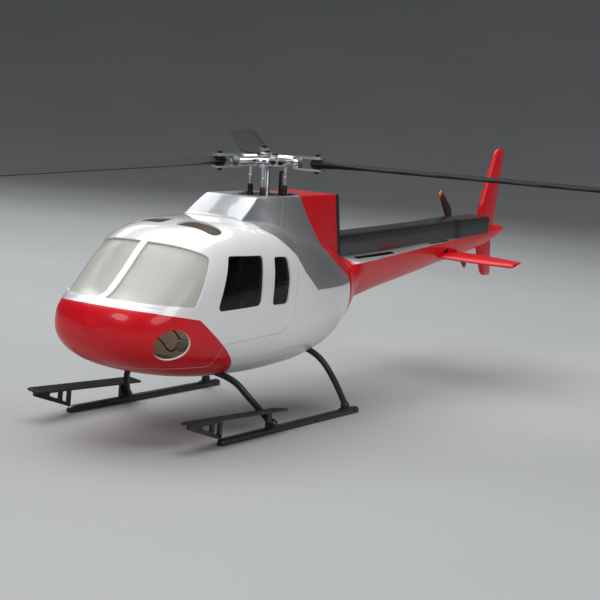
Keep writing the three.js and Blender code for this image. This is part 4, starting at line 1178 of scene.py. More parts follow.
# ------------------------------------------------------------ tail boom and tail surfaces
class Boom:
    """Boom fairing: crowned deck above a hard edge, rounded belly below."""

    def __init__(self):
        self.table = Table(BOOM, 5)

    def at(self, x):
        return [float(v) for v in self.table.at(x)]

    def ring(self, x, inset=0.0, count=40):
        """Closed section at x, drawn in by the inset."""
        w, edge, centre, bottom = self.at(min(x, BOOM_START))
        half = w - inset
        ring = []
        for j in range(count):
            a = 2 * pi * j / count
            s, c = sin(a), cos(a)
            y = half * copysign(abs(c) ** 0.8, c)
            if s >= 0:
                z = edge - 0.6 * inset + (centre - 0.4 * inset - edge) * (1 - abs(y) / half) ** 0.9
            else:
                z = edge - 0.6 * inset - (edge - bottom - inset) * abs(s) ** 0.85
            ring.append(Vector((x, y, z)))
        if x > BOOM_START:
            share = (x - BOOM_START) / (BODY_END - GAP - BOOM_START)
            share = share * share * (3 - 2 * share)
            u = POD.u_of(x)
            for j, p in enumerate(ring):
                a = atan2(p.z - 140, abs(p.y))
                q = POD.point(u, max(-pi / 2, min(pi / 2, a)), False, inset)
                ring[j] = p.lerp(Vector((x, copysign(q.y, p.y) if abs(p.y) > 1e-6 else 0, q.z)),
                                 share)
        return ring


FAIRING_WALL = 1.8
DECK_SLOTS = [(-272, -172, 22.5, 29.5), (-446, -388, 18.6, 22.2)]


def build_boom():
    """Boom fairing with its own wall: red skin, silver deck with slots, raw moulding inside, and black
    walls round the cut slots and holes as painted shade.
    """
    boom = Boom()
    xs = [BODY_END - GAP, -145, -149, -153, -157, -161, -165, -168]
    xs += list(np.arange(-174, -582, -6.0)) + [-582, -584, -586, -588, -590, -594, -600, -610]
    xs += [-620, -630, -640, -650, -658, -664, -669, -673, -675]
    count = 48
    rings = [boom.ring(x, 0, count) for x in xs]
    tip_x, tip_z, shrink = -676, 193.2, 0.3
    rings.append([Vector((tip_x, p.y * shrink, tip_z + (p.z - tip_z) * shrink)) for p in rings[-1]])
    hollow = [boom.ring(x, FAIRING_WALL, count) for x in xs if x > -652]
    form = Form().loft(list(reversed(hollow)) + rings, 0, (True, True))
    for i, face in enumerate(form.faces):
        middle = sum((form.points[k] for k in face), Vector((0, 0, 0))) / len(face)
        row, column = divmod(i, count)
        if row < len(hollow):
            form.kinds[i] = 2
        elif column < count // 2 and -568 < middle.x < -152 and len(face) == 4:
            form.kinds[i] = 1
    # black comes last so that the walls of the cuts take it: painted shade that makes the slots and holes
    # read as dark openings
    fairing = piece("boom_fairing", form, [RED, SILVER, INSIDE, BLACK], "airframe",
                    ["tail_boom_fairing"], sharp=38)
    cutter = Form()
    for x0, x1, y0, y1 in DECK_SLOTS:
        for way in (1, -1):
            low, high = sorted((way * y0, way * y1))
            cutter.plate(rectangle(x0, x1, low, high, (high - low) * 0.49), 163, 196)
    cutter.box(-588.4, -440, -9.8, 9.8, 178, 205)
    cutter.place = MECH
    cutter.rod(TAIL_HUB, (-TAIL_D, -10.2, TUBE_Z), 4.6)
    cut_out(fairing, cutter)
    return boom


def cut_out(obj, form):
    """Cuts the form out of the piece, with its faces taking the last material."""
    mesh = bpy.data.meshes.new("cutter")
    mesh.from_pydata([to_metres(p) for p in form.points], [], form.faces)
    face_outward(mesh)
    for material in obj.data.materials:
        mesh.materials.append(material)
    mesh.polygons.foreach_set("material_index", [len(obj.data.materials) - 1] * len(mesh.polygons))
    tool = bpy.data.objects.new("cutter", mesh)
    bpy.context.scene.collection.objects.link(tool)
    cut = obj.modifiers.new("cut", "BOOLEAN")
    cut.operation = "DIFFERENCE"
    cut.solver = "EXACT"
    cut.object = tool
    bpy.context.view_layer.update()
    made = bpy.data.meshes.new_from_object(obj.evaluated_get(bpy.context.evaluated_depsgraph_get()))
    obj.modifiers.clear()
    obj.data = made
    bpy.data.objects.remove(tool)
    made.set_sharp_from_angle(angle=radians(34))


def build_boom_cover(boom):
    """Gloss black cover on the deck: flat crowned top, soft long edges, wider towards the tail."""
    def outline(x, inset):
        half = float(np.interp(x, [-600, -482, -470, -140], [19.5, 19.5, 17, 17])) - inset
        top = float(np.interp(x, [-600, -576, -476, -390, -140], [213.6, 213, 210, 204.8, 194.2])) - inset
        w, edge, centre, _ = boom.at(min(x, BOOM_START))
        low = edge + (centre - edge) * max(0, 1 - (half + inset) / w) + 0.4
        r = 4.2 - inset
        side = [(half, low), (half, (low + top) / 2), (half, top - r)]
        side += [(half - r + r * cos(t), top - r + r * sin(t))
                 for t in (radians(15 * k) for k in range(1, 6))]
        side += [(half * k, top + 0.5 * (1 - k * k)) for k in (0.72, 0.45, 0.2)]
        return side + [(0, top + 0.5)] + [(-y, z) for y, z in reversed(side)]

    def section(x):
        outer = outline(x, 0)
        return [(x, y, z) for y, z in outer + list(reversed(outline(x, 1.4)))]

    xs = [-148.2] + list(np.arange(-154, -466, -12.0)) + [-468, -471, -474, -477, -480, -484]
    xs += list(np.arange(-496, -578, -12.0)) + [-580.3]
    form = Form().loft([section(x) for x in xs])
    piece("boom_cover", form, [BLACK_GLOSS], "airframe", ["boom_top_cover"], sharp=40)
    ends = Form()
    for x0, x1 in ((-148.2, -150), (-580.3, -578.6)):
        ends.loft([[(x, y, z) for y, z in outline(x0, 0.3)] for x in (x0, x1)])
    piece("boom_cover_ends", ends, [BLACK_GLOSS], "airframe", sharp=40)


def wing(sections, place):
    """Loft through wing sections (front, rear, thickness, then the position); round nose, thin rear."""
    shares = [0.5 - 0.5 * cos(pi * k / 12) for k in range(13)]
    rings = []
    for front, rear, thick, *where in sections:
        def half(c):
            return thick / 2 * 2.6 * (0.2969 * sqrt(c) - 0.126 * c - 0.3516 * c ** 2
                                      + 0.2843 * c ** 3 - 0.097 * c ** 4) / 0.26 + 0.25 * c
        upper = [(front + (rear - front) * c, half(c)) for c in shares]
        lower = [(front + (rear - front) * c, -half(c)) for c in reversed(shares[1:])]
        rings.append([place(c, t, *where) for c, t in upper + lower])
    return rings


# ------------------------------------------------------------ painted shade in the cowl's open rear, and tail surfaces
def build_cowl_rear_shade():
    """Black band just inside the skin round the open rear end of the cowl: painted shade for the dark
    inside seen through the opening.
    """
    u = POD.u_of(COWL_REAR + 0.6)
    low = POD.cowl_edge(u, True) - 0.03
    angles = [low + (pi / 2 - low) * k / 60 for k in range(61)]
    loops = []
    for inset in (0.2, 2.6):
        half = [POD.point(u, a, True, inset) for a in angles]
        loops.append(half + [Vector((p.x, -p.y, p.z)) for p in reversed(half[:-1])])
    outline = [(p.y, p.z) for p in loops[0] + list(reversed(loops[1]))]
    form = Form().loft([[(COWL_REAR + dx, y, z) for y, z in outline] for dx in (0.2, -0.6, -7.4, -8)])
    # black only as painted shade: the dim inside of the body, seen through the cowl's open rear
    piece("cowl_rear_shade", form, [BLACK_PLASTIC], "airframe", sharp=40)


# wing sections of the fins: front, rear, thickness, height
UPPER_FIN = [(-583, -637, 10, 197), (-583, -639, 10.5, 214), (-581, -639.6, 10.8, 218),
             (-589, -643, 10.4, 238), (-600, -647, 10, 262), (-610, -650.6, 9.4, 282),
             (-619, -654, 8.6, 301), (-622.5, -654.8, 7.6, 306.5), (-627, -655, 6, 310),
             (-634, -653.6, 3.6, 311.8)]
LOWER_FIN = [(-584, -634, 9, 184), (-588, -636.5, 9.5, 163.6), (-598, -639.6, 9, 146),
             (-609, -643, 8, 129), (-613, -643, 6.6, 125), (-619, -641, 4, 123)]


def build_tail_surfaces():
    """Upper and lower fin and the stabiliser."""
    for name, rows in (("upper_fin", UPPER_FIN), ("lower_fin", LOWER_FIN)):
        form = Form().loft(wing(rows, lambda c, t, z: (c, t, z)))
        piece(f"{name}_skin", form, [RED], "airframe", [name], sharp=50)
    form = Form()
    spans = [-119.8, -118.6, -116, -100, -60, -20, 20, 60, 100, 116, 118.6, 119.8]
    rows = []
    for y in spans:
        k = abs(y) / 118
        blunt = {119.8: 0.35, 118.6: 0.75}.get(abs(y), 1.0)
        front, rear = -407 - 36.5 * k, -493 + 20 * k
        rows.append((front, rear, (7.4 - 1.6 * k) * blunt, y, 162.6 - 3.8 * k, 0.03 + 0.15 * k,
                     (front + rear) / 2))
    form.loft(wing(rows, lambda c, t, y, z, pitch, middle: (c, y, z + t - pitch * (c - middle))))
    piece("stabilizer_skin", form, [RED], "airframe", ["horizontal_stabilizer"], sharp=50)


# ------------------------------------------------------------ landing gear
FRONT_LEG = [(152, 0, 63), (151, 34, 62.5), (146, 52, 60), (138, 68, 52), (128, 81, 36),
             (108, 94, 13), (103, TRACK, 8.4)]
REAR_LEG = [(-12, 0, 75), (-13, 44, 75), (-16, 62, 73), (-23, 77, 62), (-33, 88, 42),
            (-48, 96, 15), (-51, TRACK, 8.4)]


def build_landing_gear():
    """Bent cross tubes with their end sleeves, then the skids and steps."""
    for name, leg in (("front", FRONT_LEG), ("rear", REAR_LEG)):
        whole = [(x, -y, z) for x, y, z in reversed(leg[1:])] + leg
        form = Form().tube(curve_through(whole, 7), 3.5)
        for way in (1, -1):
            x, y, z = leg[-1]
            for step in (-5.4, 5.4):
                form.screw((x + step, way * y, 6.9), (0, 0, 1), 1.5, 1)
            a, b = Vector(leg[-1]), Vector(leg[-2])
            for p in (a, b):
                p.y *= way
            form.lathe(a, a.lerp(b, 0.9), [(0, 5.2), (0.55, 5.0), (0.9, 4.2), (1, 3.6)])
        piece(f"{name}_legs", form, [BLACK, BOLT], "airframe", [f"{name}_cross_tube"], 0.25)
    for way, side in SIDES:
        build_skid(way, side)
        build_step(way, side)


def build_skid(way, side):
    """Skid rail: rounded channel section with end plugs, saddle plates and their screws."""
    y0 = way * TRACK
    section = rectangle(4.2, -4.2, 0, 6.9, [1.1, 1.1, 2.4, 2.4], 0.35)
    form = Form()
    rings = []
    for x, k in ((-78, 0.55), (-77, 0.85), (-74.5, 1), (60, 1), (196, 1), (201.5, 0.92), (204, 0.7)):
        rings.append([(x, y0 + y * k, z * k) for y, z in section])
    form.loft(rings)
    for x in (103, -51):
        outline = rectangle(x - 11, x + 11, y0 - 4, y0 + 4, 3)
        form.plate(outline, 6.6, 7.7)
    for x in (-66, 20, 150):
        form.lathe((x, y0 - way * 4.4, 3.4), (x, y0 + way * 4.6, 3.4),
                   [(0, 1.6), (0.08, 1.7), (0.92, 1.7), (1, 1.3)], 1, 16)
    piece(f"skid_rail_{side}", form, [BLACK, BOLT], "airframe", [f"skid_{side}"], 0.25)


def build_step(way, side):
    """Boarding step: flat leaning bar, pierced web under its tip, post at the rear and grip ribs."""
    y0 = way * TRACK
    lean = atan(0.12)
    rear, front, low, high = 90, 264, 25.2, 31.5
    rise = (high - low) / (front - rear)
    form = Form()
    turn = Matrix.Translation((rear, y0, low)) @ Matrix.Rotation(-atan(rise), 4, "Y")
    turn = turn @ Matrix.Rotation(way * lean, 4, "X")
    long = (front - rear) * hypot(1, rise)
    outline = rounded([(0, -9), (long, -8.6), (long, 8.6), (0, 9)], [2, 3.5, 3.5, 2])
    form.plate(outline, -2.6, -0.5, turn=turn)
    for k in range(9):
        y = -7.2 + 1.8 * k
        form.box(3, long - 4, y - 0.35, y + 0.35, -0.6, 0.0, turn=turn)
    web = [(262, 29.4), (261, 24), (206, 7.2), (203.2, 7.2), (203.2, 27.4)]
    holes = [rounded([(247, 25), (222, 24.4), (222, 16.6)], 1.6),
             rounded([(217, 24.6), (208, 24.4), (208, 12), (217, 14.6)], 1.6)]
    form.plate(web, y0 - 1.5, y0 + 1.5, "xz", holes)
    form.plate([(118, 25.6), (110, 25.4), (110, 7.4), (118, 7.4)], y0 - 1.5, y0 + 1.5, "xz")
    for x in (206.5, 114):
        form.screw((x, y0 + way * 1.5, 10.6), (0, way, 0), 1.6, 1)
    piece(f"boarding_step_{side}", form, [BLACK, BOLT], "airframe", [f"step_{side}"], 0.25)


# ------------------------------------------------------------ canopy fittings
def build_lamps():
    """Landing lights with lens and rear cap, and the leads behind them."""
    for way, side in SIDES:
        form = Form()
        back, face = Vector((213.3, way * 49.7, 98.0)), Vector((225.5, way * 57, 96.9))
        form.lathe(back, face, [(0, 3.2), (0.03, 4.2), (0.3, 4.4), (0.6, 5.7), (0.78, 6.3), (1, 6.3),
                                (1, 5.6), (0.8, 4.7), (0.55, 2.6), (0.5, 0.2)], 0, 32)
        out = (face - back).normalized()
        form.lathe(face - out * 2.6, face - out * 0.7, [(0, 5.1), (0.6, 5.4), (1, 4.9)], 1, 32)
        form.lathe(back + out * 0.4, back + out * 2.4, [(0, 3.9), (0.5, 4.4), (1, 4.4)], 2, 20)
        form.box(211.1, 215.4, way * 49.5 - 3.9, way * 49.5 + 3.9, 95.2, 101, 2)
        piece(f"lamp_{side}", form, [ALLOY, CLEAR, BLACK_PLASTIC], "canopy",
              [f"landing_light_{side}"], 0.2)
    form = Form()
    for way in (1, -1):
        leads = [[(214, way * 49, 99), (222, way * 52, 103), (230, way * 51, 110.5), (238, way * 47, 118),
                  (250, way * 30, 112), (254, way * 14, 88)],
                 [(214, way * 47, 96), (226, way * 47, 90.5), (236, way * 48, 93), (252, way * 48, 105),
                  (262, way * 38, 108), (258, way * 22, 100), (252, way * 8, 88)]]
        for path in leads:
            form.tube(curve_through(path), 0.8, 0, 10)
        form.box(247, 259, way * 14 - 5, way * 14 + 5, 83, 91, 1)
    piece("lamp_leads", form, [BLACK_PLASTIC, NYLON], "canopy", (), 0.2)


def build_nose_former():
    """Plain bulkhead that closes off the nose behind the lamps, with a hole for each lead."""
    u = POD.u_of(196)
    low, high = POD.angle_at(u, 77), POD.angle_at(u, 124)
    half = [POD.point(u, low + (high - low) * k / 24, True, 2.2) for k in range(25)]
    outline = [(p.y, p.z) for p in half] + [(-p.y, p.z) for p in reversed(half)]
    form = Form().plate(outline, 194, 196, "yz", [circle(way * 34, 112, 5) for way in (1, -1)])
    piece("nose_former", form, [INSIDE], "canopy", (), 0.2)


# ------------------------------------------------------------ mechanics inside the body
def build_frames():
    """Carbon side frames with their screws, and the spacers between them."""
    outline = [(-64, -20), (-64, -84), (-46, -106), (60, -112), (176, -112), (176, -92), (72, -88),
               (62, -20)]
    outline = rounded(outline, [3, 6, 8, 8, 4, 4, 6, 3])
    holes = [rectangle(-32, 33, -69, -55, 2),
             rectangle(-36, -12, -48, -36, 2),
             rectangle(-40, 46, -98, -80, 5),
             rectangle(90, 120, -107, -98, 3),
             rectangle(132, 162, -107, -98, 3)]
    for way, side in SIDES:
        form = Form(MECH)
        low, high = sorted((way * 22.4, way * 24))
        form.plate(outline, low, high, "xz", holes)
        for x, z in ((-58, -26), (-58, -78), (-44, -100), (54, -106), (100, -94), (168, -98), (54, -26),
                     (6, -26), (-28, -26), (64, -70), (4, -104)):
            form.screw((x, way * 24, z), (0, way, 0), 1.9, 1)
        for x, z in ((-20, -30), (-4, -30), (40, -30), (40, -44)):
            form.lathe((x, way * 24, z), (x, way * 25.4, z), [(0, 3), (1, 3), (1, 1.4), (0.6, 1.4)], 2,
                       18)
        piece(f"frame_plate_{side}", form, [CARBON, BOLT, RED_ANODISED], "airframe",
              [f"frame_{side}"], 0.15)
    form = Form(MECH)
    for x, z in ((-58, -26), (-58, -78), (54, -106), (168, -98), (100, -94)):
        form.lathe((x, -22.2, z), (x, 22.2, z), [(0, 3.2), (0.05, 3.4), (0.1, 2.5), (0.9, 2.5),
                (0.95, 3.4), (1, 3.2)])
    piece("frame_spacers", form, [RED_ANODISED], "airframe")


def build_bearing_block():
    """Block between the frames that holds the mast's bearing."""
    form = Form(MECH)
    outline = rectangle(-46, 22, -22, 22, 3)
    holes = [circle(0, 0, 8, 28), rectangle(-38, -16, -13, 13, 3)]
    form.plate(outline, -31.9, -18.1, "xy", holes)
    form.lathe((0, 0, -31), (0, 0, -17.6), [(0, 8), (0.9, 8), (1, 7), (1, 4.5), (0.9, 4.4), (0, 4.4)], 1)
    for x in (-42, 17):
        for y in (-17, 17):
            form.screw((x, y, -18.1), (0, 0, 1), 1.9, 2)
    piece("mast_bearing_block", form, [RED_ANODISED, STEEL, BOLT], "airframe",
          ["bearing_block"], 0.4)


def build_motor():
    """Motor can with cooling slots and three leads."""
    x = MOTOR_X
    form = Form(MECH).lathe((x, 0, -52), (x, 0, -13), [(0, 2.6), (0, 13), (0.02, 15), (0.16, 15.4),
            (0.2, 14.6), (0.24, 15.4), (0.72, 15.4), (0.74, 14.8), (0.78, 15.3), (0.88, 15), (0.92, 12),
            (0.93, 6), (1, 5.6), (1, 1.7)], 0, 40)
    for k in range(18):
        turn = Matrix.Translation((x, 0, 0)) @ Matrix.Rotation(radians(20 * k), 4, "Z")
        form.box(14.9, 15.5, -0.7, 0.7, -40, -25, 1, turn)
    for k in range(3):
        form.tube(curve_through([(x + 12, -5 + 5 * k, -20), (x + 19, -6 + 6 * k, -24),
                                 (x + 21, -6 + 6 * k, -40), (x + 24, -5 + 5 * k, -60),
                                 (x + 34, -4 + 4 * k, -70)]), 1.3, 2, 12)
    piece("motor_can", form, [STEEL, BOLT, BLACK_PLASTIC], "airframe", ["motor"], 0.2)


def gear(form, x, y, low, high, radius, teeth, tooth, bore, kind=0, windows=0):
    """Upright toothed wheel with a bore and windows in its web."""
    outline = []
    for i in range(teeth):
        for share, r in ((0.0, radius - tooth), (0.28, radius - tooth), (0.42, radius), (0.62, radius),
                         (0.76, radius - tooth)):
            t = 2 * pi * (i + share) / teeth
            outline.append((x + r * cos(t), y + r * sin(t)))
    holes = [circle(x, y, bore, 24)] if bore else []
    for k in range(windows):
        t = 2 * pi * k / windows
        ring = [(0.42, -0.34), (0.42, 0.34), (0.78, 0.4), (0.78, -0.4)]
        corners = [(x + radius * r * cos(t + a), y + radius * r * sin(t + a)) for r, a in ring]
        holes.append(rounded(corners, 2.5))
    form.plate(outline, low, high, "xy", holes, kind)


def build_drive():
    """Main gear, motor pinion and mast."""
    form = Form(MECH)
    gear(form, 0, 0, GEAR_Z - 3, GEAR_Z + 3, GEAR_R, 95, 1.6, 9.8, 0, 6)
    form.lathe((0, 0, GEAR_Z - 5), (0, 0, GEAR_Z + 5), [(0, 4.5), (0, 10), (0.2, 10.4), (0.8, 10.4),
            (1, 10), (1, 4.5)], 1)
    for k in range(4):
        t = pi / 2 * k + 0.4
        form.screw((7.4 * cos(t), 7.4 * sin(t), GEAR_Z + 5), (0, 0, 1), 1.4, 2)
    piece("spur_gear", form, [NYLON, ALLOY, BOLT], "main_rotor", ["main_gear"], 0.12)
    form = Form(MECH)
    gear(form, MOTOR_X, 0, -68, -56, PINION_R, 13, 1.4, 0)
    form.lathe((MOTOR_X, 0, -57), (MOTOR_X, 0, -47), [(0, 3.2), (0.3, 3), (0.32, 1.6), (1, 1.6)])
    piece("pinion", form, [BRASS], "motor_shaft", ["motor_pinion"], 0.12)
    form = Form(MECH).lathe((0, 0, -78), (0, 0, HUB_Z + 6),
                            [(0, 3.4), (0.005, 4), (0.3, 4), (0.302, 3.92), (0.31, 4), (0.995, 4),
                             (1, 3.5)])
    for z in (-72, 10, 14):
        form.lathe((0, 0, z), (0, 0, z + 3.4), [(0, 5.6), (0.1, 6), (0.9, 6), (1, 5.6)] if z < 0 else
                   [(0, 4.1), (0.5, 4.35), (1, 4.1)])
    piece("mast", form, [STEEL], "main_rotor", ["main_shaft"], 0.15)


def build_battery():
    """Wrapped pack of two blocks, with straps, leads and a plug."""
    form = Form(MECH)
    for x0, x1, z0, z1 in ((74, 182, -91.4, -62), (80, 176, -108, -91.5)):
        outline = rectangle(x0, x1, -22, 22, 4)
        middle = (x0 + x1) / 2
        ends = ((z0, 0.975), (z0 + 0.8, 0.992), (z0 + 2, 1), (z1 - 2, 1), (z1 - 0.8, 0.992), (z1, 0.975))
        form.loft([[(middle + (x - middle) * k, y * k, z) for x, y in outline] for z, k in ends])
    for x in (96, 150):
        form.plate(rectangle(x, x + 14, -22.3, 22.3, 3), -61.9, -61.2, "xy", (), 1)
        for way in (1, -1):
            low, high = sorted((way * 21.8, way * 22.2))
            form.box(x, x + 14, low, high, -108.4, -61.5, 1)
    for k, kind in ((0, 2), (1, 1)):
        form.tube(curve_through([(178, -6 + 12 * k, -70), (186, -6 + 12 * k, -68), (192, -4 + 8 * k, -62),
                                 (188, -3 + 6 * k, -54), (176, -3 + 6 * k, -52), (160, -3 + 6 * k, -54)]),
                  1.9, kind, 12)
    form.box(146, 164, -7, 7, -58, -50.5, 3)
    piece("flight_battery", form, [WRAP, BLACK_PLASTIC, RED_ANODISED, NYLON], "airframe",
          ["battery"], 0.3)


SERVOS = [("left", 1, 22, 1), ("right", 1, -22, -1), ("rear", -43, 2.4, 1)]
HORN = 14.0


def build_servos():
    """Swashplate servos, each with its case, horn and link rod."""
    for name, x, y, way in SERVOS:
        def at(a, b):
            return sorted((y + way * a, y + way * b))
        deep = 12.5 if name == "rear" else 13.5
        form = Form(MECH)
        y0, y1 = at(-deep, 0)
        for low, high, grow in ((-17.4, -12.2, 0), (-12, -1.2, 0.15), (-1, 3, 0)):
            form.box(x - 24 - grow, x + 5.2, y0, y1, low, high)
        y0, y1 = at(-4.5, -3)
        tabs = x + (5.2 if name == "rear" else 9)
        form.plate(rectangle(x - 27, tabs, -10, -2, 1), y0, y1, "xz",
                   [circle(x - 25.4, -4, 0.8, 12), circle(x - 25.4, -8, 0.8, 12)])
        form.lathe((x, y - way * 1, -4), (x, y + way * 1.9, -4),
                   [(0, 3.6), (0.6, 3.6), (0.62, 2.6), (1, 2.5)], 1)
        for px in (x - 21, x - 6):
            for pz in (-15.6, 1.4):
                form.screw((px, y, pz), (0, way, 0), 0.9, 1)
        piece(f"servo_case_{name}", form, [SERVO_CASE, BRASS], "airframe",
              [f"servo_{name}"], 0.35)
        form = Form(MECH)
        y0, y1 = at(2.4, 3.8)
        outline = rounded([(x - 3.8, -7.6), (x + HORN - 1, -6.4), (x + HORN + 2.4, -4),
                           (x + HORN - 1, -1.6), (x - 3.8, -0.4)], [3, 1, 2.4, 1, 3])
        form.plate(outline, y0, y1, "xz", [circle(x + 5, -4, 0.7, 12), circle(x + 8.5, -4, 0.7, 12)])
        form.screw((x, y + way * 3.8, -4), (0, way, 0), 1.7, 1)
        form.rod((x + HORN, y + way * 3.8, -4), (x + HORN, y + way * 4.4, -4), 1.9, kind=1)
        form.sphere((x + HORN, y + way * 5.3, -4), 1.9, 1)
        form.lathe((x + HORN, y + way * 3.8, -4), (x + HORN, y + way * 7, -4),
                   [(0, 1.2), (0.9, 1.2), (1, 0.8)], 1, 16)
        piece(f"servo_arm_{name}", form, [BLACK_PLASTIC, BOLT], f"horn_{name}",
              [f"servo_horn_{name}"], 0.15)
        form = Form(MECH)
        px, py = x + HORN, y + way * 5.3
        ring = [(2.9, -1.2), (2.9, 1.2), (3.5, 1.6), (4.2, 1.2), (4.2, -1.2), (3.5, -1.6)]
        rings = []
        for k in range(25):
            t = 2 * pi * k / 24
            rings.append([(px + r * sin(t), py + h * 0.5, -4 + r * cos(t)) for r, h in ring])
        form.loft(rings, 0, (False, False))
        form.lathe((px, py, -0.6), (px, py, 5), [(0, 2), (0.2, 2.3), (0.9, 2.1), (1, 1.3)])
        form.rod((px, py, 3), (px, py, SWASH_Z - 7), 1.1, kind=1, sides=16)
        form.lathe((px, py, SWASH_Z - 12), (px, py, SWASH_Z - 3),
                   [(0, 1.3), (0.1, 2.1), (0.45, 2.3), (0.6, 2.9), (1, 2.9)])
        piece(f"swash_link_{name}", form, [BLACK_PLASTIC, STEEL], "swash_fixed",
              [f"swash_rod_{name}"], 0.12)


# ------------------------------------------------------------ rotor head
def build_swashplate():
    """Fixed ring, turning ring and the slotted post that keeps the fixed ring from turning."""
    form = Form(MECH).lathe((0, 0, SWASH_Z - 3.5), (0, 0, SWASH_Z + 3.5),
                            [(0, 15.8), (0, 20.8), (0.12, 21.8), (0.45, 22), (0.5, 21.2), (0.55, 22),
                             (0.88, 21.8), (1, 20.8), (1, 15.8), (0.5, 15.7)], 0, 48)
    form.rod((-20, 0, SWASH_Z), (-38.4, 0, SWASH_Z), 1.3, 1.2, 1, 16)
    form.lathe((-38.6, 0, SWASH_Z), (-32.4, 0, SWASH_Z), [(0, 1.4), (0.1, 1.65), (0.9, 1.65), (1, 1.3)],
               2, 18)
    for x, y in ((15, 27.3), (15, -27.3), (-29, 7.7)):
        out = Vector((x, y, 0)).normalized()
        base = out * 18
        form.lathe((base.x, base.y, SWASH_Z), (x - out.x * 1.8, y - out.y * 1.8, SWASH_Z),
                   [(0, 3.4), (0.4, 2.8), (1, 2)], 0, 20)
        form.sphere((x, y, SWASH_Z), 2.6, 1)
    piece("swash_ring_fixed", form, [ALLOY, STEEL, BLACK_PLASTIC], "swash_fixed",
          ["swash_outer"], 0.2)
    form = Form(MECH).lathe((0, 0, SWASH_Z - 4), (0, 0, SWASH_Z + 8),
                            [(0, 4.7), (0, 14), (0.04, 14.6), (0.4, 14.7), (0.6, 14.6), (0.66, 13.2),
                             (0.96, 12.6), (1, 12), (1, 8), (0.86, 7.4), (0.86, 4.7)], 0, 48)
    form.sphere((0, 0, SWASH_Z + 2), 7.3, 1)
    for a in BLADE_AZIMUTH:
        turn = Matrix.Rotation(a, 4, "Z")
        form.lathe((LINK_U * 0.4, -LINK_ARM * 0.4, SWASH_Z + 6.2),
                   (LINK_U * 0.94, -LINK_ARM * 0.94, SWASH_Z + 7.4), [(0, 3.2), (0.6, 2.6), (1, 1.9)], 0,
                   20, turn)
        form.sphere((LINK_U, -LINK_ARM, SWASH_Z + 8.6), 2.7, 1, turn)
    piece("swash_ring_turning", form, [ALLOY, STEEL], "swash_turning", ["swash_inner"], 0.2)
    form = Form(MECH)
    slot = rectangle(-1.8, 1.8, 20, 64.8, 1.79, 0.3)
    body = rectangle(-4.2, 4.2, -17.6, 67.2, [1, 1, 4.19, 4.19], 0.25)
    form.plate(body, -37.2, -33.6, "yz", [slot])
    for z in (-13, -5, 3):
        form.screw((-37.2, 0, z), (-1, 0, 0), 1.5, 1)
    piece("guide_post", form, [BLACK, BOLT], "airframe", ["anti_rotation_guide"], 0.3)


def build_hub():
    """Rotor centre with a block and spindle for each blade."""
    form = Form(MECH).lathe((0, 0, HUB_Z - 8.5), (0, 0, HUB_Z + 8.5),
                            [(0, 4.4), (0, 8.4), (0.1, 9.6), (0.3, 9.6), (0.34, 8.8), (0.7, 8.8),
                             (0.74, 9.6), (0.92, 9.6), (1, 8.6), (1, 5.2), (0.9, 4.8), (0.88, 0.3)], 0,
                            40)
    form.screw((0, 0, HUB_Z + 7.2), (0, 0, 1), 3, 1)
    for a in BLADE_AZIMUTH:
        turn = Matrix.Rotation(a, 4, "Z")
        block = rounded([(4, -6.4), (13.6, -5.6), (13.6, 5.6), (4, 6.4)], 1.2)
        form.plate(block, HUB_Z - 6, HUB_Z + 6, turn=turn)
        form.rod((12, 0, HUB_Z), (31, 0, HUB_Z), 3.6, kind=2, turn=turn)
        for y in (-3.6, 3.6):
            form.screw((9.8, y, HUB_Z + 6), (0, 0, 1), 1.3, 1, turn)
    piece("rotor_centre", form, [ALLOY, BOLT, STEEL], "main_rotor", ["rotor_hub"], 0.3)


def build_blade_set(i, azimuth):
    """One blade with its grip, bolt and pitch link."""
    place = MECH @ Matrix.Rotation(azimuth, 4, "Z")
    build_grip(i, place)
    build_blade_bolt(i, place)
    build_blade(i, place)
    build_pitch_link(i, place)


def build_grip(i, place):
    """Blade grip: turned barrel, two thin jaws, pitch arm with its pin and two black screws."""
    form = Form(place).lathe((15, 0, HUB_Z), (40.6, 0, HUB_Z),
                             [(0, 4.3), (0, 6.3), (0.02, 6.85), (0.5, 6.9), (0.9, 6.9), (1, 6.2),
                              (1, 4.3), (0.6, 4.25)], 0, 40)
    jaw = rounded([(37, -5.4), (46, -6.2), (62, -7.6), (70, -7.4), (70, 7.4), (62, 7.6), (46, 6.2),
                   (37, 5.4)], [1, 0, 0, 7.2, 7.2, 0, 0, 1], 0.2)
    for low in (-7.5, 5.4):
        form.plate(jaw, HUB_Z + low, HUB_Z + low + 2.1, "xy", [circle(BOLT_R, 0, 1.9, 20)])
    cheek = [(34.4, -6.6), (43.5, -7.1)]
    cheek += [(43.5 - 2.6 * sin(t), -7.1 * cos(t))
              for t in (pi * k / 12 for k in range(1, 12))]
    form.plate(cheek + [(43.5, 7.1), (34.4, 6.6)], -5.4, 5.4, "xz",
               turn=Matrix.Translation((0, 0, HUB_Z)))
    arm = rounded([(16.4, -4), (16.4, -LINK_ARM - 3.6), (22, -LINK_ARM - 3.6), (36, -11.5), (37, -4)],
                  [1, 2.6, 2.6, 3, 1])
    form.plate(arm, HUB_Z - 2.7, HUB_Z + 2.7)
    lug = rectangle(15.8, 34, -4.1, 4.1, 3.9, 0.5)
    form.plate(lug, -LINK_ARM - 3, -LINK_ARM + 0.6, "xz", turn=Matrix.Translation((0, 0, HUB_Z)))
    for x in (20.2, 29.4):
        form.screw((x, -LINK_ARM - 3, HUB_Z), (0, -1, 0), 2.7, 1)
    form.lathe((17, -LINK_ARM, HUB_Z), (-2.4, -LINK_ARM, HUB_Z),
               [(0, 2.4), (0.12, 2.4), (0.14, 1.2), (0.96, 1.2), (1, 0.9)], 1, 20)
    piece(f"grip_{i}", form, [ALLOY, BOLT], f"grip_{i}", [f"blade_grip_{i}"], 0.3)


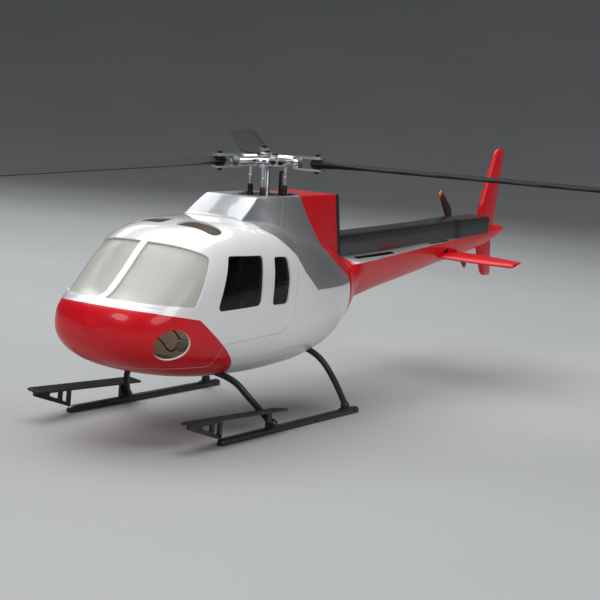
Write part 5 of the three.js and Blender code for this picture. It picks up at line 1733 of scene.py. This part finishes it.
def build_blade_bolt(i, place):
    """Bolt with its head, washer and nut."""
    form = Form(place).rod((BOLT_R, 0, HUB_Z - 8), (BOLT_R, 0, HUB_Z + 8), 1.5)
    form.screw((BOLT_R, 0, HUB_Z + 8), (0, 0, 1), 3)
    form.lathe((BOLT_R, 0, HUB_Z - 7.6), (BOLT_R, 0, HUB_Z - 11),
               [(0, 2.8), (0.7, 2.8), (0.75, 2.4), (1, 2.2)], 0, 6)
    form.lathe((BOLT_R, 0, HUB_Z + 7.55), (BOLT_R, 0, HUB_Z + 8.1), [(0, 4.2), (1, 4.2)], 1)
    piece(f"blade_screw_{i}", form, [BOLT, STEEL], f"blade_{i}", [f"blade_bolt_{i}"], 0.2)


def build_blade(i, place):
    """Blade with a narrow root, hanging a little from its bolt, and the root's two washers."""
    form = Form(place)
    drop = (Matrix.Translation((BOLT_R, 0, HUB_Z)) @ Matrix.Rotation(HANG[i - 1], 4, "Y")
            @ Matrix.Translation((-BOLT_R, 0, -HUB_Z)))
    stations = [(55.8, 4.5, 4.5, 7.6), (57, 6, 6, 8.6), (60, 7.1, 7.2, 8.9), (68, 7.4, 8, 8.8),
                (76, 7.8, 10, 8.2), (84, 8.4, 13.4, 7.4), (94, 9.6, 18.6, 6.4), (104, 10.4, 22.2, 5.8),
                (114, 10.8, 24, 5.3), (124, LEADING, CHORD - LEADING, 4.9)]
    stations += [(x, LEADING, CHORD - LEADING, 5 - 0.4 * (x - 124) / 350) for x in range(150, 470, 40)]
    stations += [(TIP_R - 16, LEADING, CHORD - LEADING, 4.5), (TIP_R - 8, 9.4, CHORD - LEADING, 4.1),
                 (TIP_R - 3, 5.6, CHORD - LEADING, 3.3), (TIP_R - 0.4, -1, CHORD - LEADING - 0.6, 1.9)]
    rows = [(-front, rear, thick, x) for x, front, rear, thick in stations]
    form.loft(wing(rows, lambda c, t, x: (x, c, HUB_Z + t)), 0, turn=drop)
    for way in (1, -1):
        form.lathe((BOLT_R, 0, HUB_Z + way * 3.6), (BOLT_R, 0, HUB_Z + way * 4.85),
                   [(0, 5.4), (0.8, 5.4), (1, 5)], 1, turn=drop)
    piece(f"rotor_blade_{i}", form, [BLADE, BLACK_PLASTIC], f"blade_{i}",
          [f"main_blade_{i}"], sharp=40)


def build_pitch_link(i, place):
    """Upright link: turned eye on the grip's pin, shaft, and moulded foot on the ring's ball."""
    form = Form(place)
    y = -LINK_ARM
    form.lathe((LINK_U - 7.8, y, HUB_Z), (LINK_U + 7.8, y, HUB_Z),
               [(0, 2.2), (0, 3), (0.06, 3.5), (0.36, 3.5), (0.4, 3.2), (0.6, 3.2), (0.64, 3.5),
                (0.94, 3.5), (1, 3), (1, 2.2)], 0, 32)
    form.lathe((LINK_U, y, 51), (LINK_U, y, HUB_Z - 2.4), [(0, 1.9), (0.3, 1.9), (0.32, 2.5), (0.42, 2.5),
            (0.44, 1.9), (0.86, 1.9), (1, 2.8)], 0, 24)
    form.lathe((LINK_U, y, 53), (LINK_U, y, 34.9), [(0, 2), (0.08, 2.9), (0.3, 3.1), (0.5, 3.0),
            (0.62, 4.0), (0.85, 4.0), (1, 3.2)], 1, 24)
    piece(f"blade_link_{i}", form, [ALLOY, BLACK_PLASTIC], "swash_turning",
          [f"pitch_link_{i}"], 0.2)


# ------------------------------------------------------------ tail drive
def build_tail_drive():
    """Tail tube, tail gearbox and the servo for the tail rotor."""
    form = Form(MECH).lathe((-50, 0, TUBE_Z), (-TAIL_D + 16, 0, TUBE_Z),
                            [(0, TUBE_R - 1), (0, TUBE_R), (0.5, TUBE_R), (1, TUBE_R), (1, TUBE_R - 1),
                             (0.5, TUBE_R - 1)], 0, 32)
    for x in (-66, -150, -TAIL_D + 22):
        form.lathe((x, 0, TUBE_Z), (x - 6, 0, TUBE_Z), [(0, 7.2), (0.1, 7.9), (0.9, 7.9), (1, 7.2)], 1,
                   32)
    piece("tail_tube", form, [CARBON, BLACK_PLASTIC], "airframe", ["tail_boom_tube"],
          0.15)
    form = Form(MECH)
    x0, x1 = -TAIL_D - 4.2, -TAIL_D + 15.6
    outline = rectangle(x0, x1, TUBE_Z - 9, TUBE_Z + 4.4, [3, 1.5, 1.5, 3])
    form.plate(outline, -9, 9, "xz", [circle(-TAIL_D, TUBE_Z, 2.9, 24)])
    for way in (1, -1):
        form.lathe((-TAIL_D, way * 8.8, TUBE_Z), (-TAIL_D, way * 9.6, TUBE_Z),
                   [(0, 5), (1, 4.8), (1, 2.8), (0, 2.8)], 1)
        for px, pz in ((x0 + 2.4, TUBE_Z + 2), (x1 - 2.4, TUBE_Z + 2), (x0 + 2.4, TUBE_Z - 6.6),
                       (x1 - 2.4, TUBE_Z - 6.6)):
            form.screw((px, way * 9, pz), (0, way, 0), 1.3, 2)
    piece("tail_gear_case", form, [ALLOY, STEEL, BOLT], "airframe", ["tail_gearbox"], 0.3)
    form = Form(MECH)
    for low, high in ((-8, -2.2), (-2, 6), (6.2, 12)):
        form.box(-112, -84, -22, -9, TUBE_Z + low, TUBE_Z + high)
    form.plate(rectangle(-116, -80, TUBE_Z - 2, TUBE_Z + 6, 1), -14, -12, "xz",
               [circle(-114, TUBE_Z + 4, 0.8, 12), circle(-82, TUBE_Z, 0.8, 12)])
    form.lathe((-90, -9.5, TUBE_Z + 4), (-90, -7.6, TUBE_Z + 4),
               [(0, 3), (0.6, 3), (0.62, 1.8), (1, 1.8)], 1)
    piece("rudder_servo", form, [SERVO_CASE, BRASS], "airframe", ["tail_servo"], 0.35)


def build_tail_rotor():
    """Tail hub, its two blades and the slider that pitches them."""
    spin = Matrix.Translation(TAIL_HUB) @ Matrix.Rotation(-TAIL_ANGLE, 4, "Y")
    form = Form(MECH).lathe((-TAIL_D, TAIL_Y - 6, TUBE_Z), (-TAIL_D, 3, TUBE_Z),
                            [(0, 2.1), (0.02, 2.5), (0.98, 2.5), (1, 2.2)], 0, 24)
    form.plate(rectangle(-6, 6, -4, 4, 1), -4, 4, "xz", turn=spin)
    for way in (1, -1):
        form.rod((way * 5, 0, 0), (way * 14, 0, 0), 1.5, turn=spin)
    form.screw((0, -4, 0), (0, -1, 0), 1.9, 1, spin)
    piece("tail_hub", form, [STEEL, BOLT], "tail_rotor", ["tail_shaft"], 0.25)
    for i, way in ((1, 1), (2, -1)):
        turn = spin @ Matrix.Rotation(0 if way > 0 else pi, 4, "Y")
        form = Form(MECH)
        rows = [(-3.6, 3.6, 4.9, 19.2), (-6.5, 9.4, 4.5, 24), (-8, 12.2, 3.7, 33), (-7.6, 11.6, 3.3, 42),
                (-6.4, 9.4, 3, 55), (-4.6, 6.6, 2.6, TAIL_R - 8), (-3.8, 5.5, 2, TAIL_R - 1.6),
                (-2.8, 4.2, 1.2, TAIL_R - 0.2)]
        form.loft(wing(rows, lambda c, t, x: (x, t, c)), 0, turn=turn)
        form.lathe((7, 0, 0), (22, 0, 0), [(0, 2), (0, 3.6), (0.05, 4), (0.3, 4), (0.34, 3.5), (0.6, 3.5),
                (0.64, 4), (1, 3.6)], 1, 28, turn)
        form.box(10.6, 14.4, -1.2, 1.2, -TAIL_ARM[1] + 1, -2, 1, turn)
        form.sphere((TAIL_ARM[0], 0, -TAIL_ARM[1]), 1.7, 2, turn)
        form.screw((19.4, -3.2, 0), (0, -1, 0), 1.2, 2, turn)
        piece(f"tail_rotor_blade_{i}", form, [TAIL_BLADE, BLACK_PLASTIC, BOLT], f"tail_paddle_{i}",
              [f"tail_blade_{i}"], sharp=40)
    form = Form(MECH).lathe((-TAIL_D, TAIL_Y + 13.5, TUBE_Z), (-TAIL_D, TAIL_Y + 8.5, TUBE_Z),
                            [(0, 2.9), (0, 5), (0.1, 5.6), (0.35, 5.6), (0.4, 4.4), (0.6, 4.4),
                             (0.65, 5.6), (0.9, 5.6), (1, 5), (1, 2.9)], 0, 32)
    for way in (1, -1):
        arm = rounded([(0, 4 * way), (0, -4 * way), (8 * way, -10.6 * way), (14.6 * way, -10.6 * way),
                       (14.6 * way, -6 * way)], [0, 1, 1.2, 1.6, 1.6])
        form.plate(arm, 9, 11, "xz", turn=spin)
        x, z = TAIL_ARM[0] * way, -TAIL_ARM[1] * way
        form.lathe((x, 9.4, z), (x, 2.4, z), [(0, 1.2), (0.8, 1.2), (1, 1)], 0, 16, spin)
        form.screw((x, 11, z), (0, 1, 0), 1.2, 1, spin)
    piece("tail_slider", form, [BLACK_PLASTIC, BOLT], "tail_pitch_link",
          ["tail_pitch_slider"], 0.2)


def build_hatch():
    """Belly hatch with a lip inside and four screws."""
    form = Form()
    outline = rectangle(-12, 42, -24, 24, 2)
    form.plate(outline, HATCH_Z, HATCH_Z + 3)
    form.plate(rectangle(-15, 45, -27, 27, 3), HATCH_Z + 3, HATCH_Z + 4.2, "xy", (), 1)
    for x in (-8, 38):
        for y in (-20, 20):
            form.lathe((x, y, HATCH_Z + 3.4), (x, y, HATCH_Z + 6.5), [(0, 2.2), (0.6, 2.4), (1, 1)], 2,
                       16)
    piece("hatch_cover", form, [WHITE, INSIDE, BOLT], "airframe", ["belly_hatch"], 0.4)


add_camera()
add_studio()
build_skin()
build_boom_cover(build_boom())
build_cowl_rear_shade()
build_tail_surfaces()
build_landing_gear()
build_lamps()
build_nose_former()
build_hatch()
build_frames()
build_bearing_block()
build_motor()
build_drive()
build_battery()
build_servos()
build_swashplate()
build_hub()
for number, azimuth in enumerate(BLADE_AZIMUTH, 1):
    build_blade_set(number, azimuth)
build_tail_drive()
build_tail_rotor()
